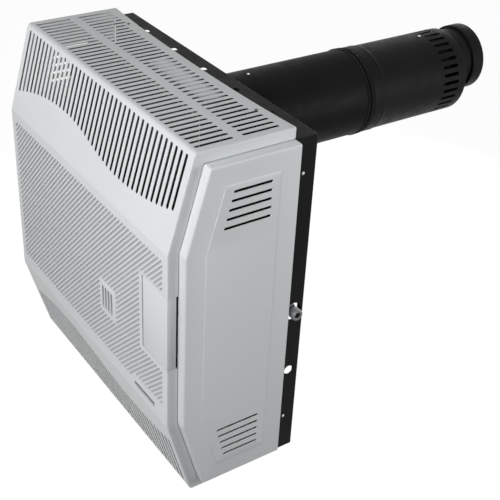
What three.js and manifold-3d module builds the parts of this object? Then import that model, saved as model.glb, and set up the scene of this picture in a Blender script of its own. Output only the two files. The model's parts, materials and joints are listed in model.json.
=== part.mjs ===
// A balanced-flue gas wall heater: a painted casing with side covers and a control door on a black wall pan,
// a sealed combustion chamber with its burner, pilot and gas valve inside, and a concentric flue behind.
// Millimetres. X runs along the wall, +Y into the wall, +Z up. The wall's surface is Y = 0, and the origin is
// the middle of the pan's lower wall lip. Heights in the constants count from the casing's lower edge.

import * as THREE from 'three';
import { mergeGeometries, mergeVertices } from 'three/addons/utils/BufferGeometryUtils.js';
import Module from 'manifold-3d';

const wasm = await Module();
wasm.setup();

// ---------- driving dimensions ----------
const CASING_WIDTH = 527;
const CASING_HEIGHT = 605;
const STAND_OFF = 37; // wall to the casing's rear edge
const TOP_DEPTH = 161; // rear edge to the top front bend
const FRONT_DEPTH = 202; // rear edge to the middle front
const BOTTOM_DEPTH = 159; // rear edge to the bottom front bend
const UPPER_BEND_Z = 460;
const LOWER_BEND_Z = 152;
const SHEET = 1.2;
const FLANGE_WIDTH = 17.5; // the casing's side flange
const EDGE_BEND_RADIUS = 8;
const FRONT_BEND_RADIUS = 16;
const REAR_BOW = 10; // the top sheet's rear edge is drawn forward this far in the middle
const REAR_BOW_POWER = 2.4;
const BOTTOM_REAR_GAP = 3; // the underside ends this far in front of the wall pan's plate
const BOTTOM_UPTURN = 17; // height of the underside's turned-up rear edge
const BOTTOM_CORNER = 4; // from the turned-up edge's ends to the casing's sides
const FIT = 0.3; // clearance between pieces that touch

// slots of the casing
const SLOT_PITCH = 13;
const SLOT_COUNT = 39;
const SLOT_WIDTH = 6;
const SLOT_EDGE_MARGIN = 7.5; // slot end to the top front or bottom front bend
const WAVE_CREST_X = -88;
const WAVE_TROUGH_X = 105;
const WAVE_CREST = 66.5; // above the upper bend
const WAVE_TROUGH = 40;
const WAVE_LEFT_DROP = 34;
const WAVE_RIGHT_RISE = 26;
const LOWER_WAVE_SHIFT = 104; // the lower front's wave lies this far below the upper one's
const TOP_REAR_SLOT_START = 24;
const TOP_REAR_SLOT_LENGTH = 54;
const TOP_CORNER_SLOT_START = 17;
const TOP_CORNER_SLOTS = 5; // the outer slots of the rear row start further back
const TOP_FRONT_SLOT_START = 92;
const TOP_FRONT_SLOT_LENGTH = 61;

// pressed grooves of the middle front
const GROOVE_PITCH = 9.35;
const GROOVE_WIDTH = 2.9;
const GROOVE_DEPTH = 1.6;
const GROOVE_BACKING = 1.4;
const GROOVE_FIELD = { left: -250, right: 250, bottom: 175, top: 444 };
const GROOVE_STEP = { left: 155, height: 12 }; // the field's lower edge is higher above the thin slot
const GROOVE_LEAST_LENGTH = 8;
const GROOVE_MARGIN = 1.5; // plain rim round the window frame, and the backing's width beyond the field

// sight window, thin slot
const WINDOW_X = 79;
const WINDOW_Z = 273;
const WINDOW_FRAME = { width: 50, height: 57, proud: 1 };
const WINDOW_SLOTS = 4;
const WINDOW_SLOT_PITCH = 9.4;
const WINDOW_SLOT_WIDTH = 6;
const WINDOW_SLOT_HEIGHT = 43;
const THIN_SLOT = { x: 194.5, z: 169, width: 63, height: 8 };

// control door
const DOOR_LEFT = 193.7;
const DOOR_BOTTOM = 260;
const DOOR_HEIGHT = 128;
const DOOR_GAP = 0.6;
const DOOR_RETURN = 14.5;
const DOOR_HEM = 7;
const DOOR_BORDER = 8;
const HINGE_GAP = 3.6;
const HINGE_SETBACK = 3; // pin axis behind the front surface
const HINGE_PIN_RADIUS = 1.5;
const KNUCKLE_RADIUS = 2.6;
const KNUCKLE_LENGTH = 16;
const LUG_THICKNESS = 4;
const LUG_REACH = 9;

// side covers
const COVER_GAP = 1.2;
const COVER_RISE = 16.4;
const COVER_LIP = 7;
const COVER_LIP_DEPTH = 2.6;
const EMBOSS_INSET = 34;
const EMBOSS_RISE = 0.8;
const COVER_SLOTS = 5;
const COVER_SLOT_PITCH = 13.7;
const COVER_SLOT_HEIGHT = 4.6;
const COVER_SLOT_REAR = 46;
const COVER_SLOT_LENGTH = 64;
const COVER_SLOT_GROWTH = 3.4;
const COVER_UPPER_SLOT_DROP = 62.3; // the first upper slot below the casing's top
const COVER_LOWER_SLOT_Z = 66.7;

// wall pan
const PAN_HALF_WIDTH = 267.5;
const PAN_BOTTOM = 10;
const PAN_DROP = 16; // the pan's top below the casing's
const PAN_LIP = 14;
const PAN_TOP_HOLE_PITCH = 90.5;
const PAN_TOP_HOLE_RADIUS = 6;
const PAN_TOP_HOLE_SETBACK = 22;
const PAN_SIDE_HOLE = { radius: 8, setback: 19, z: 175 };
const WALL_HOLE_RADIUS = 3.5;
const PAN_SCREW_SETBACK = 26.5;
const PAN_SCREW_INSET = { top: 61, bottom: 66 };

// flue
const FLUE_DROP = 116; // the duct's axis below the casing's top
const DUCT_RADIUS = 74.4;
const DUCT_WALL = 1.2;
const DUCT_OUTER_SECTION_RADIUS = 73.9;
const DUCT_JOINT_Y = 266;
const INTAKE_START_Y = 431;
const DUCT_END_Y = 488;
const BEAD = 1.8;
const RIM_WIDTH = 2.6;
const INTAKE_SLOTS = 32;
const INTAKE_SLOT_START_Y = 435;
const INTAKE_SLOT_LENGTH = 36;
const INTAKE_SLOT_WIDTH = 6.2;
const FLUE_RISE = 16; // the inner flue lies above the duct's axis
const FLUE_RADIUS = 54;
const FLUE_WALL = 1;
const CAP_RADIUS = 59;
const CAP_START_Y = 518;
const CAP_END_Y = 543;
const SUPPORT_Y = 210;
const DUCT_SCREW_YS = { inner: 58.5, outer: 424.5 };
const ROUND_SIDES = 40;
const INTAKE_SIDES = 32;

// combustion chamber and air box
const CHAMBER = { left: -200, right: 130, bottom: 120, top: CASING_HEIGHT - 30 };
const AIR_BOX = { halfWidth: 85, bottom: 128, top: CASING_HEIGHT - 25, depth: 37 };
const CHAMBER_REAR_DEPTH = 40;
const CHAMBER_FRONT_DEPTH = 40;
const CHAMBER_FLANGE = 10;
const GASKET = 1.6;
const AIR_INLET = { halfWidth: 50, bottom: 136, height: 24 };

// burner and pilot
const BURNER_RADIUS = 14;
const BURNER_Z = 165;
const BURNER_SETBACK = 23; // burner axis in front of the chamber's rear wall
const BURNER_PORTS = 20;
const BURNER_SIDES = 16;
const PORT_HALF_LENGTH = 2.4;
const PILOT = { x: 92, thermocouple: 106, spark: 118, y: -132, shelfZ: 182 };
const PILOT_TUBE_Z = 150;
const THERMOCOUPLE_TUBE_Z = 160;
const IGNITION_TUBE_Z = 170;
const TUBE_HOLE_CLEARANCE = 0.6;

// controls
const VALVE = { left: 192, right: 254, bottom: 318, top: 392, front: -203, rear: -128 };
const CONTROL_PLATE = { left: 186, right: 250, bottom: 252, top: 400, front: -206.2 };
const KNOB_X = 225;
const KNOB_Z = 345;
const KNOB_RADIUS = 20;
const KNOB_FRONT = -231;
const KNOB_REAR = -211;
const SPINDLE_RADIUS = 4;
const SPINDLE_REACH = 5; // the spindle's rear end behind the guide's front
const COLLAR_RADIUS = 7.5;
const GUIDE_RADIUS = 15;
const GUIDE_LENGTH = 10;
const KNOB_CLEARANCE = 1.5; // round the collar and the igniter button in the control plate
const PIEZO_X = 212;
const PIEZO_Z = 282;
const PIEZO_RADIUS = 10.5;
const PIEZO_REAR = -165;
const BUTTON_RADIUS = 7.5;
const BUTTON_FRONT = -222;
const BUTTON_TRAVEL = 8;

// gas inlet
const INLET = { y: -20, z: 291, holeRadius: 15, tip: 14, tubeRadius: 6, unionRadius: 9.5, boreRadius: 5 };

// ---------- places worked out from the dimensions ----------
const HALF = CASING_WIDTH / 2;
const BACK_Y = -STAND_OFF;
const TOP_FRONT_Y = BACK_Y - TOP_DEPTH;
const FRONT_Y = BACK_Y - FRONT_DEPTH;
const BOTTOM_FRONT_Y = BACK_Y - BOTTOM_DEPTH;
const COVER_UPPER_SLOT_Z = CASING_HEIGHT - COVER_UPPER_SLOT_DROP;
const PAN_TOP = CASING_HEIGHT - PAN_DROP;
const PAN_SCREW_HEIGHTS = {
  upper: PAN_TOP - PAN_SCREW_INSET.top,
  lower: PAN_BOTTOM + PAN_SCREW_INSET.bottom,
};
const FLUE_Z = CASING_HEIGHT - FLUE_DROP;
const LIP_CENTRE_Z = PAN_BOTTOM + PAN_LIP / 2;
const PAN_PLATE_FRONT = BACK_Y + FIT;
const AIR_BOX_FRONT = PAN_PLATE_FRONT - FIT - AIR_BOX.depth;
const CHAMBER_BACK = AIR_BOX_FRONT - FIT;
const REAR_FLANGE_FRONT = CHAMBER_BACK - CHAMBER_REAR_DEPTH;
const GASKET_FRONT = REAR_FLANGE_FRONT - FIT - GASKET;
const FRONT_FLANGE_BACK = GASKET_FRONT - FIT;
const CHAMBER_FACE = FRONT_FLANGE_BACK - CHAMBER_FRONT_DEPTH;
const BURNER_Y = CHAMBER_BACK - BURNER_SETBACK;

// ---------- materials ----------
function finish(color, roughness, metalness) {
  return new THREE.MeshStandardMaterial({ color, roughness, metalness });
}

const paleGrey = finish(0xdadddd, 0.45, 0);
const black = finish(0x1b1c1f, 0.5, 0.1);
const galvanised = finish(0x9a9da0, 0.4, 0.9);
const chamberSteel = finish(0x4a4c50, 0.6, 0.5);
const stainless = finish(0xb4b4b0, 0.3, 1);
const aluminium = finish(0xa8abad, 0.45, 0.9);
const brass = finish(0xb58d3d, 0.35, 1);
const copper = finish(0xb0714a, 0.35, 1);
const darkPlastic = finish(0x222325, 0.5, 0);
const redPlastic = finish(0xb02a22, 0.45, 0);
const ceramic = finish(0xe9e5da, 0.5, 0);
const glass = finish(0xcfd8d6, 0.05, 0);
const fibre = finish(0xc9c4b4, 0.95, 0);
const silicone = finish(0x8c3b2c, 0.6, 0);

// ---------- solids ----------
const AXES = {
  x: new THREE.Matrix4().makeBasis(vec(0, 1, 0), vec(0, 0, 1), vec(1, 0, 0)),
  y: new THREE.Matrix4().makeBasis(vec(1, 0, 0), vec(0, 0, 1), vec(0, -1, 0)),
  z: new THREE.Matrix4(),
};

function vec(x, y, z) {
  return new THREE.Vector3(x, y, z);
}

/** A closed geometry as a solid, its faces turned outwards. */
function solid(geometry) {
  const bare = geometry.clone();
  bare.deleteAttribute('normal');
  bare.deleteAttribute('uv');
  const merged = mergeVertices(bare, 1e-4);
  const corners = merged.attributes.position.array;
  const triangles = Uint32Array.from(merged.index.array);
  const [a, b, c] = [vec(), vec(), vec()];
  let volume = 0;
  for (let i = 0; i < triangles.length; i += 3) {
    a.fromArray(corners, 3 * triangles[i]);
    b.fromArray(corners, 3 * triangles[i + 1]);
    c.fromArray(corners, 3 * triangles[i + 2]);
    volume += a.dot(b.cross(c));
  }
  if (volume < 0) {
    triangles.reverse();
  }
  return new wasm.Manifold(new wasm.Mesh({ numProp: 3, vertProperties: corners, triVerts: triangles }));
}

/** Several separate closed geometries as one cutting tool. */
function tools(geometries) {
  return solid(mergeGeometries(geometries.map(plain)));
}

function plain(geometry) {
  const bare = geometry.index ? geometry.toNonIndexed() : geometry.clone();
  bare.deleteAttribute('normal');
  bare.deleteAttribute('uv');
  return bare;
}

const join = (first, ...others) => others.reduce((sum, other) => sum.add(other), first);
const cut = (body, ...cutters) => cutters.reduce((left, cutter) => left.subtract(cutter), body);

function outlineShape(points) {
  return new THREE.Shape(points.map(([u, v]) => new THREE.Vector2(u, v)));
}

/** A prism from `low` to `high` along an axis; its outline is (y, z), (x, z) or (x, y) for x, y and z. */
function prismGeometry(axis, points, low, high) {
  const depth = high - low;
  const geometry = new THREE.ExtrudeGeometry(outlineShape(points), { depth, bevelEnabled: false });
  geometry.applyMatrix4(AXES[axis]);
  const start = { x: vec(low, 0, 0), y: vec(0, high, 0), z: vec(0, 0, low) }[axis];
  return geometry.translate(start.x, start.y, start.z);
}

const prism = (...args) => solid(prismGeometry(...args));

function rectangle(left, right, low, high) {
  return [[left, low], [right, low], [right, high], [left, high]];
}

/** A box given by its lowest and highest X, Y and Z. */
function boxGeometry(x0, x1, y0, y1, z0, z1) {
  const geometry = new THREE.BoxGeometry(x1 - x0, y1 - y0, z1 - z0);
  return geometry.translate((x0 + x1) / 2, (y0 + y1) / 2, (z0 + z1) / 2);
}

const block = (...args) => solid(boxGeometry(...args));

/** A round bar between two points. */
function bar(from, to, radius, sides = 24) {
  const length = from.distanceTo(to);
  const turn = new THREE.Quaternion().setFromUnitVectors(vec(0, 1, 0), to.clone().sub(from).normalize());
  const geometry = new THREE.CylinderGeometry(radius, radius, length, sides);
  geometry.applyQuaternion(turn);
  const middle = from.clone().add(to).multiplyScalar(0.5);
  return solid(geometry.translate(middle.x, middle.y, middle.z));
}

/** A ring turned about Y from a closed profile of [radius, y] points. */
function turned(profile, sides = ROUND_SIDES) {
  const points = [...profile, profile[0]].map(([r, y]) => new THREE.Vector2(r, y));
  return solid(new THREE.LatheGeometry(points, sides));
}

function ring(inner, outer, y0, y1, sides) {
  return turned([[inner, y0], [outer, y0], [outer, y1], [inner, y1]], sides);
}

/** A tube or wire along a smooth line through the points. */
function wire(points, radius, steps = 22, sides = 6) {
  const circle = new THREE.Shape(
    Array.from({ length: sides }, (_, i) => {
      const angle = (2 * Math.PI * i) / sides;
      return new THREE.Vector2(radius * Math.cos(angle), radius * Math.sin(angle));
    }),
  );
  const path = new THREE.CatmullRomCurve3(points.map((p) => vec(...p)), false, 'centripetal');
  return solid(new THREE.ExtrudeGeometry(circle, { steps, extrudePath: path, bevelEnabled: false }));
}

function slotOutline(u, low, high, width) {
  return rectangle(u - width / 2, u + width / 2, low, high);
}

/** An open path moved sideways, to its left for a positive distance. */
function offsetPath(path, distance) {
  const lines = path.slice(1).map((end, i) => {
    const [u, v] = path[i];
    const length = Math.hypot(end[0] - u, end[1] - v);
    const along = [(end[0] - u) / length, (end[1] - v) / length];
    return { start: [u - along[1] * distance, v + along[0] * distance], along, length };
  });
  const moved = [lines[0].start];
  for (let i = 1; i < lines.length; i += 1) {
    const [p, q] = [lines[i - 1], lines[i]];
    const cross = p.along[0] * q.along[1] - p.along[1] * q.along[0];
    const gap = [q.start[0] - p.start[0], q.start[1] - p.start[1]];
    const reach = (gap[0] * q.along[1] - gap[1] * q.along[0]) / cross;
    moved.push([p.start[0] + p.along[0] * reach, p.start[1] + p.along[1] * reach]);
  }
  const last = lines.at(-1);
  moved.push([last.start[0] + last.along[0] * last.length, last.start[1] + last.along[1] * last.length]);
  return moved;
}

/** An open path with each inner corner rounded by an arc of its radius. */
function roundedPath(path, radii, steps = 3) {
  const rounded = [path[0]];
  for (let i = 1; i < path.length - 1; i += 1) {
    const corner = new THREE.Vector2(...path[i]);
    const back = new THREE.Vector2(...path[i - 1]).sub(corner).normalize();
    const ahead = new THREE.Vector2(...path[i + 1]).sub(corner).normalize();
    const half = Math.acos(THREE.MathUtils.clamp(back.dot(ahead), -1, 1)) / 2;
    const toCentre = back.clone().add(ahead).normalize();
    const centre = toCentre.multiplyScalar(radii[i - 1] / Math.sin(half)).add(corner);
    const first = back.multiplyScalar(radii[i - 1] / Math.tan(half)).add(corner).sub(centre);
    const last = ahead.multiplyScalar(radii[i - 1] / Math.tan(half)).add(corner).sub(centre);
    const sweep = Math.atan2(first.cross(last), first.dot(last));
    for (let step = 0; step <= steps; step += 1) {
      const point = first.clone().rotateAround(new THREE.Vector2(), (sweep * step) / steps).add(centre);
      rounded.push([point.x, point.y]);
    }
  }
  rounded.push(path.at(-1));
  return rounded;
}

/** The closed outline of a bent sheet: a path and the same path moved in by the sheet's thickness. */
function sheetOutline(path, thickness, radii) {
  const inner = offsetPath(path, thickness);
  const tight = radii.map((radius) => Math.max(radius - thickness, 0.5));
  return [...roundedPath(path, radii), ...roundedPath(inner, tight).reverse()];
}

const mirrored = (body) => body.mirror([1, 0, 0]);

// ---------- the scene graph ----------
const root = new THREE.Group();
const heater = new THREE.Group();
heater.position.z = -LIP_CENTRE_Z;
root.add(heater);
const duct = new THREE.Group();
duct.position.z = FLUE_Z;
heater.add(duct);
const flue = new THREE.Group();
flue.position.z = FLUE_RISE;
duct.add(flue);

function add(parent, name, body, material, position = [0, 0, 0]) {
  const { vertProperties, triVerts } = body.getMesh();
  const geometry = new THREE.BufferGeometry();
  geometry.setAttribute('position', new THREE.BufferAttribute(vertProperties, 3));
  geometry.setIndex(new THREE.BufferAttribute(triVerts, 1));
  geometry.computeVertexNormals();
  const mesh = new THREE.Mesh(geometry, material);
  mesh.name = name;
  mesh.position.set(...position);
  parent.add(mesh);
}

// ---------- casing ----------
// the side outline from the rear of the top, over the front, to the rear of the bottom
const sideOutline = [
  [BACK_Y, CASING_HEIGHT], [TOP_FRONT_Y, CASING_HEIGHT], [FRONT_Y, UPPER_BEND_Z],
  [FRONT_Y, LOWER_BEND_Z], [BOTTOM_FRONT_Y, 0], [BACK_Y, 0],
];
const BEND_RADII = [EDGE_BEND_RADIUS, FRONT_BEND_RADIUS, FRONT_BEND_RADIUS, EDGE_BEND_RADIUS];

/** Height of the slots' wavy end line above the upper bend. */
function waveHeight(x) {
  if (x < WAVE_CREST_X) {
    return WAVE_CREST - WAVE_LEFT_DROP * ((WAVE_CREST_X - x) / (HALF + WAVE_CREST_X)) ** 2;
  }
  if (x > WAVE_TROUGH_X) {
    return WAVE_TROUGH + WAVE_RIGHT_RISE * ((x - WAVE_TROUGH_X) / (HALF - WAVE_TROUGH_X)) ** 2;
  }
  const phase = (Math.PI * (x - WAVE_CREST_X)) / (WAVE_TROUGH_X - WAVE_CREST_X);
  return WAVE_TROUGH + ((WAVE_CREST - WAVE_TROUGH) * (1 + Math.cos(phase))) / 2;
}

/** The plane of a slanted front: X along the wall, Y up the slope from the bend, Z outwards. */
function slopePlane(bend, from, to) {
  const up = vec(0, to[0] - from[0], to[1] - from[1]).normalize();
  const out = vec(1, 0, 0).cross(up);
  return new THREE.Matrix4().makeBasis(vec(1, 0, 0), up, out).setPosition(0, bend[0], bend[1]);
}

function slopedSlot(plane, x, low, high) {
  const outline = outlineShape(slotOutline(x, low, high, SLOT_WIDTH));
  const geometry = new THREE.ExtrudeGeometry(outline, { depth: 10, bevelEnabled: false });
  return geometry.translate(0, 0, -6).applyMatrix4(plane);
}

function casingSlots() {
  const upperLength = Math.hypot(FRONT_DEPTH - TOP_DEPTH, CASING_HEIGHT - UPPER_BEND_Z);
  const lowerLength = Math.hypot(FRONT_DEPTH - BOTTOM_DEPTH, LOWER_BEND_Z);
  const upper = slopePlane(sideOutline[2], sideOutline[2], sideOutline[1]);
  const lower = slopePlane(sideOutline[3], sideOutline[4], sideOutline[3]);
  const cutters = [];
  for (let i = 0; i < SLOT_COUNT; i += 1) {
    const x = (i - (SLOT_COUNT - 1) / 2) * SLOT_PITCH;
    const outer = Math.min(i, SLOT_COUNT - 1 - i) < TOP_CORNER_SLOTS;
    const rear = BACK_Y - (outer ? TOP_CORNER_SLOT_START : TOP_REAR_SLOT_START);
    const rearEnd = BACK_Y - TOP_REAR_SLOT_START - TOP_REAR_SLOT_LENGTH;
    const front = BACK_Y - TOP_FRONT_SLOT_START;
    const frontEnd = front - TOP_FRONT_SLOT_LENGTH;
    const [low, high] = [CASING_HEIGHT - 5, CASING_HEIGHT + 5];
    cutters.push(prismGeometry('z', slotOutline(x, rearEnd, rear, SLOT_WIDTH), low, high));
    cutters.push(prismGeometry('z', slotOutline(x, frontEnd, front, SLOT_WIDTH), low, high));
    cutters.push(slopedSlot(upper, x, waveHeight(x), upperLength - SLOT_EDGE_MARGIN));
    cutters.push(slopedSlot(lower, x, SLOT_EDGE_MARGIN - lowerLength, waveHeight(x) - LOWER_WAVE_SHIFT));
  }
  return cutters;
}

/** The stretches of x where the line z = x + shift lies in the groove field and off the plain areas. */
function grooveStretches(shift) {
  const field = GROOVE_FIELD;
  const stepped = field.bottom - shift > GROOVE_STEP.left ? field.bottom + GROOVE_STEP.height : field.bottom;
  let stretches = [[Math.max(field.left, stepped - shift), Math.min(field.right, field.top - shift)]];
  for (const [left, right, low, high] of PLAIN_AREAS) {
    const from = Math.max(left, low - shift);
    const to = Math.min(right, high - shift);
    if (from < to) {
      stretches = stretches.flatMap(([a, b]) => [[a, Math.min(b, from)], [Math.max(a, to), b]]);
    }
  }
  return stretches.filter(([a, b]) => (b - a) * Math.SQRT2 > GROOVE_LEAST_LENGTH);
}

const PLAIN_AREAS = [
  [
    DOOR_LEFT - HINGE_GAP - DOOR_BORDER, HALF,
    DOOR_BOTTOM - DOOR_BORDER, DOOR_BOTTOM + DOOR_HEIGHT + DOOR_BORDER / 2,
  ],
  [
    WINDOW_X - WINDOW_FRAME.width / 2 - GROOVE_MARGIN, WINDOW_X + WINDOW_FRAME.width / 2 + GROOVE_MARGIN,
    WINDOW_Z - WINDOW_FRAME.height / 2 - GROOVE_MARGIN, WINDOW_Z + WINDOW_FRAME.height / 2 + GROOVE_MARGIN,
  ],
];

function grooves() {
  const run = vec(1, 0, 1).normalize();
  const out = vec(0, -1, 0);
  const across = run.clone().cross(out);
  const lift = 0.5;
  const halfWidth = (GROOVE_WIDTH / 2) * (1 + lift / GROOVE_DEPTH);
  const section = [[-GROOVE_DEPTH, 0], [lift, halfWidth], [lift, -halfWidth]];
  const first = Math.ceil((GROOVE_FIELD.bottom - GROOVE_FIELD.right) / GROOVE_PITCH);
  const last = Math.floor((GROOVE_FIELD.top - GROOVE_FIELD.left) / GROOVE_PITCH);
  const cutters = [];
  for (let line = first; line <= last; line += 1) {
    const shift = line * GROOVE_PITCH;
    for (const [from, to] of grooveStretches(shift)) {
      const depth = (to - from) * Math.SQRT2;
      const geometry = new THREE.ExtrudeGeometry(outlineShape(section), { depth, bevelEnabled: false });
      const place = new THREE.Matrix4().makeBasis(out, across, run).setPosition(from, FRONT_Y, from + shift);
      cutters.push(geometry.applyMatrix4(place));
    }
  }
  return cutters;
}

function windowCutters() {
  const low = WINDOW_Z - WINDOW_SLOT_HEIGHT / 2;
  const cutters = [];
  for (let i = 0; i < WINDOW_SLOTS; i += 1) {
    const x = WINDOW_X + (i - (WINDOW_SLOTS - 1) / 2) * WINDOW_SLOT_PITCH;
    const outline = slotOutline(x, low, low + WINDOW_SLOT_HEIGHT, WINDOW_SLOT_WIDTH);
    cutters.push(prismGeometry('y', outline, FRONT_Y - 5, FRONT_Y + 5));
  }
  return cutters;
}

const HINGE_Y = FRONT_Y + HINGE_SETBACK;
const DOOR_TOP = DOOR_BOTTOM + DOOR_HEIGHT;
const LUG_HEIGHTS = [DOOR_BOTTOM - DOOR_GAP - 1 - LUG_THICKNESS, DOOR_TOP + DOOR_GAP + 1];

function doorOpening() {
  const flange = FRONT_Y + FLANGE_WIDTH;
  return block(
    DOOR_LEFT - HINGE_GAP, HALF + 5, FRONT_Y - 5, flange, DOOR_BOTTOM - DOOR_GAP, DOOR_TOP + DOOR_GAP,
  );
}

/** An ear behind the front sheet that holds an end of the hinge pin. */
function hingeLug(low) {
  return block(
    DOOR_LEFT - LUG_REACH / 2, DOOR_LEFT + LUG_REACH / 2, FRONT_Y + SHEET / 2, HINGE_Y + LUG_REACH / 2,
    low, low + LUG_THICKNESS,
  );
}

const CASING_SCREW_X = 188;
const CASING_SCREW_Y = BACK_Y - 22.5;
const SCREW_RADIUS = 1.5;
const SCREW_HEAD_RADIUS = 2.6;
const REAR_BOW_STEPS = 24;

/** The side outline moved in by a distance, its ends carried out behind the casing. */
function openBehind(distance) {
  const path = offsetPath(sideOutline, distance);
  const radii = BEND_RADII.map((radius) => Math.max(radius - distance, 0.5));
  return [[BACK_Y + 5, path[0][1]], ...roundedPath(path, radii).slice(1, -1), [BACK_Y + 5, path.at(-1)[1]]];
}

/** What the bowed rear edge leaves of the top sheet's rear, as a cutter that stays off the side flanges. */
function rearBow() {
  const reach = HALF - 3 * SHEET;
  const edge = Array.from({ length: REAR_BOW_STEPS + 1 }, (_, i) => {
    const x = reach * ((2 * i) / REAR_BOW_STEPS - 1);
    return [x, BACK_Y - REAR_BOW * (1 - (Math.abs(x) / HALF) ** REAR_BOW_POWER)];
  });
  const behind = [[reach, BACK_Y + 5], [-reach, BACK_Y + 5]];
  return prism('z', [...edge, ...behind], CASING_HEIGHT - SHEET - 2, CASING_HEIGHT + 5);
}

function casing() {
  const outside = prism('x', roundedPath(sideOutline, BEND_RADII), -HALF, HALF);
  const hollow = prism('x', openBehind(SHEET), SHEET - HALF, HALF - SHEET);
  const sideOpening = prism('x', openBehind(FLANGE_WIDTH), -HALF - 5, HALF + 5);
  const undersideEnd = BACK_Y - BOTTOM_REAR_GAP;
  const upturn = block(
    BOTTOM_CORNER - HALF, HALF - BOTTOM_CORNER, undersideEnd - SHEET, BACK_Y, SHEET / 2, BOTTOM_UPTURN,
  );
  const behindUnderside = block(
    BOTTOM_CORNER - HALF - 1, HALF - BOTTOM_CORNER + 1, undersideEnd, BACK_Y + 5, -5, BOTTOM_UPTURN + 2,
  );
  const folded = cut(join(cut(outside, hollow, sideOpening), upturn), behindUnderside, rearBow());
  const field = GROOVE_FIELD;
  const backing = block(
    field.left - GROOVE_MARGIN, field.right + GROOVE_MARGIN,
    FRONT_Y + SHEET / 2, FRONT_Y + SHEET + GROOVE_BACKING,
    field.bottom - GROOVE_MARGIN, field.top + GROOVE_MARGIN,
  );
  const frame = WINDOW_FRAME;
  const windowFrame = block(
    WINDOW_X - frame.width / 2, WINDOW_X + frame.width / 2, FRONT_Y - frame.proud, FRONT_Y + SHEET,
    WINDOW_Z - frame.height / 2, WINDOW_Z + frame.height / 2,
  );
  const thinSlot = boxGeometry(
    THIN_SLOT.x - THIN_SLOT.width / 2, THIN_SLOT.x + THIN_SLOT.width / 2, FRONT_Y - 5, FRONT_Y + 5,
    THIN_SLOT.z - THIN_SLOT.height / 2, THIN_SLOT.z + THIN_SLOT.height / 2,
  );
  const screwHoles = [-CASING_SCREW_X, CASING_SCREW_X].map((x) => {
    const top = CASING_HEIGHT;
    return bar(vec(x, CASING_SCREW_Y, top - 6), vec(x, CASING_SCREW_Y, top + 5), SCREW_RADIUS + FIT, 8);
  });
  const shell = join(folded, backing, windowFrame);
  const cutters = tools([...casingSlots(), ...grooves(), ...windowCutters(), thinSlot]);
  const opened = cut(shell, cutters, doorOpening());
  const pinHole = bar(
    vec(DOOR_LEFT, HINGE_Y, LUG_HEIGHTS[0] - 3), vec(DOOR_LEFT, HINGE_Y, LUG_HEIGHTS[1] + LUG_THICKNESS + 3),
    HINGE_PIN_RADIUS + FIT, 12,
  );
  return cut(join(opened, ...LUG_HEIGHTS.map(hingeLug)), pinHole, ...screwHoles);
}

add(heater, 'casing', casing(), paleGrey);

// ---------- control door ----------
function controlDoor() {
  const front = block(DOOR_LEFT, HALF, FRONT_Y, FRONT_Y + SHEET, DOOR_BOTTOM, DOOR_TOP);
  const sideReturn = block(HALF - SHEET, HALF, FRONT_Y, FRONT_Y + DOOR_RETURN, DOOR_BOTTOM, DOOR_TOP);
  const hemStart = DOOR_LEFT + HINGE_GAP + KNUCKLE_RADIUS;
  const hem = (low) => block(
    hemStart, HALF - SHEET / 2, FRONT_Y + SHEET / 2, FRONT_Y + DOOR_HEM, low, low + SHEET,
  );
  const knuckle = (low) => {
    const [from, to] = [vec(DOOR_LEFT, HINGE_Y, low), vec(DOOR_LEFT, HINGE_Y, low + KNUCKLE_LENGTH)];
    return bar(from, to, KNUCKLE_RADIUS, 16);
  };
  const bore = bar(
    vec(DOOR_LEFT, HINGE_Y, DOOR_BOTTOM - 1), vec(DOOR_LEFT, HINGE_Y, DOOR_TOP + 1),
    HINGE_PIN_RADIUS + FIT, 16,
  );
  const leaf = join(
    front, sideReturn, hem(DOOR_BOTTOM), hem(DOOR_TOP - SHEET),
    knuckle(DOOR_BOTTOM + 2), knuckle(DOOR_TOP - 2 - KNUCKLE_LENGTH),
  );
  return cut(leaf, bore);
}

add(heater, 'control_door', controlDoor(), paleGrey);
const pinEnds = [LUG_HEIGHTS[0] - 1, LUG_HEIGHTS[1] + LUG_THICKNESS + 1];
add(
  heater, 'door_hinge_pin', bar(vec(0, 0, pinEnds[0]), vec(0, 0, pinEnds[1]), HINGE_PIN_RADIUS, 12),
  stainless, [DOOR_LEFT, HINGE_Y, 0],
);

// ---------- side covers ----------
function coverSlots(face) {
  const cutters = [];
  const fields = [[COVER_UPPER_SLOT_Z, -COVER_SLOT_PITCH], [COVER_LOWER_SLOT_Z, COVER_SLOT_PITCH]];
  for (const [firstZ, step] of fields) {
    for (let i = 0; i < COVER_SLOTS; i += 1) {
      const z = firstZ + i * step;
      const rear = BACK_Y - COVER_SLOT_REAR;
      const length = COVER_SLOT_LENGTH + i * COVER_SLOT_GROWTH;
      const outline = rectangle(rear - length, rear, z - COVER_SLOT_HEIGHT / 2, z + COVER_SLOT_HEIGHT / 2);
      cutters.push(prismGeometry('x', outline, face - 5, face + 5));
    }
  }
  return cutters;
}

function sideCover() {
  const face = HALF + COVER_RISE;
  const edge = offsetPath(sideOutline, FLANGE_WIDTH + COVER_GAP);
  const lipEdge = offsetPath(sideOutline, FLANGE_WIDTH - COVER_LIP);
  const radii = BEND_RADII.map((radius) => radius / 2);
  const lipFront = HALF - SHEET - FIT;
  const walls = prism('x', sheetOutline(edge, SHEET, radii), lipFront - COVER_LIP_DEPTH, face);
  const plate = prism('x', roundedPath(edge, radii), face - SHEET, face);
  const lipDepth = COVER_LIP + COVER_GAP + SHEET;
  const lip = prism('x', sheetOutline(lipEdge, lipDepth, radii), lipFront - SHEET, lipFront);
  const embossFront = offsetPath(edge, EMBOSS_INSET - COVER_GAP);
  const embossRear = BACK_Y - EMBOSS_INSET;
  const embossOutline = embossFront.map(([y, z]) => [Math.min(y, embossRear), z]);
  const emboss = prism('x', embossOutline, face - SHEET / 2, face + EMBOSS_RISE);
  return cut(join(walls, plate, lip, emboss), tools(coverSlots(face)));
}

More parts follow.
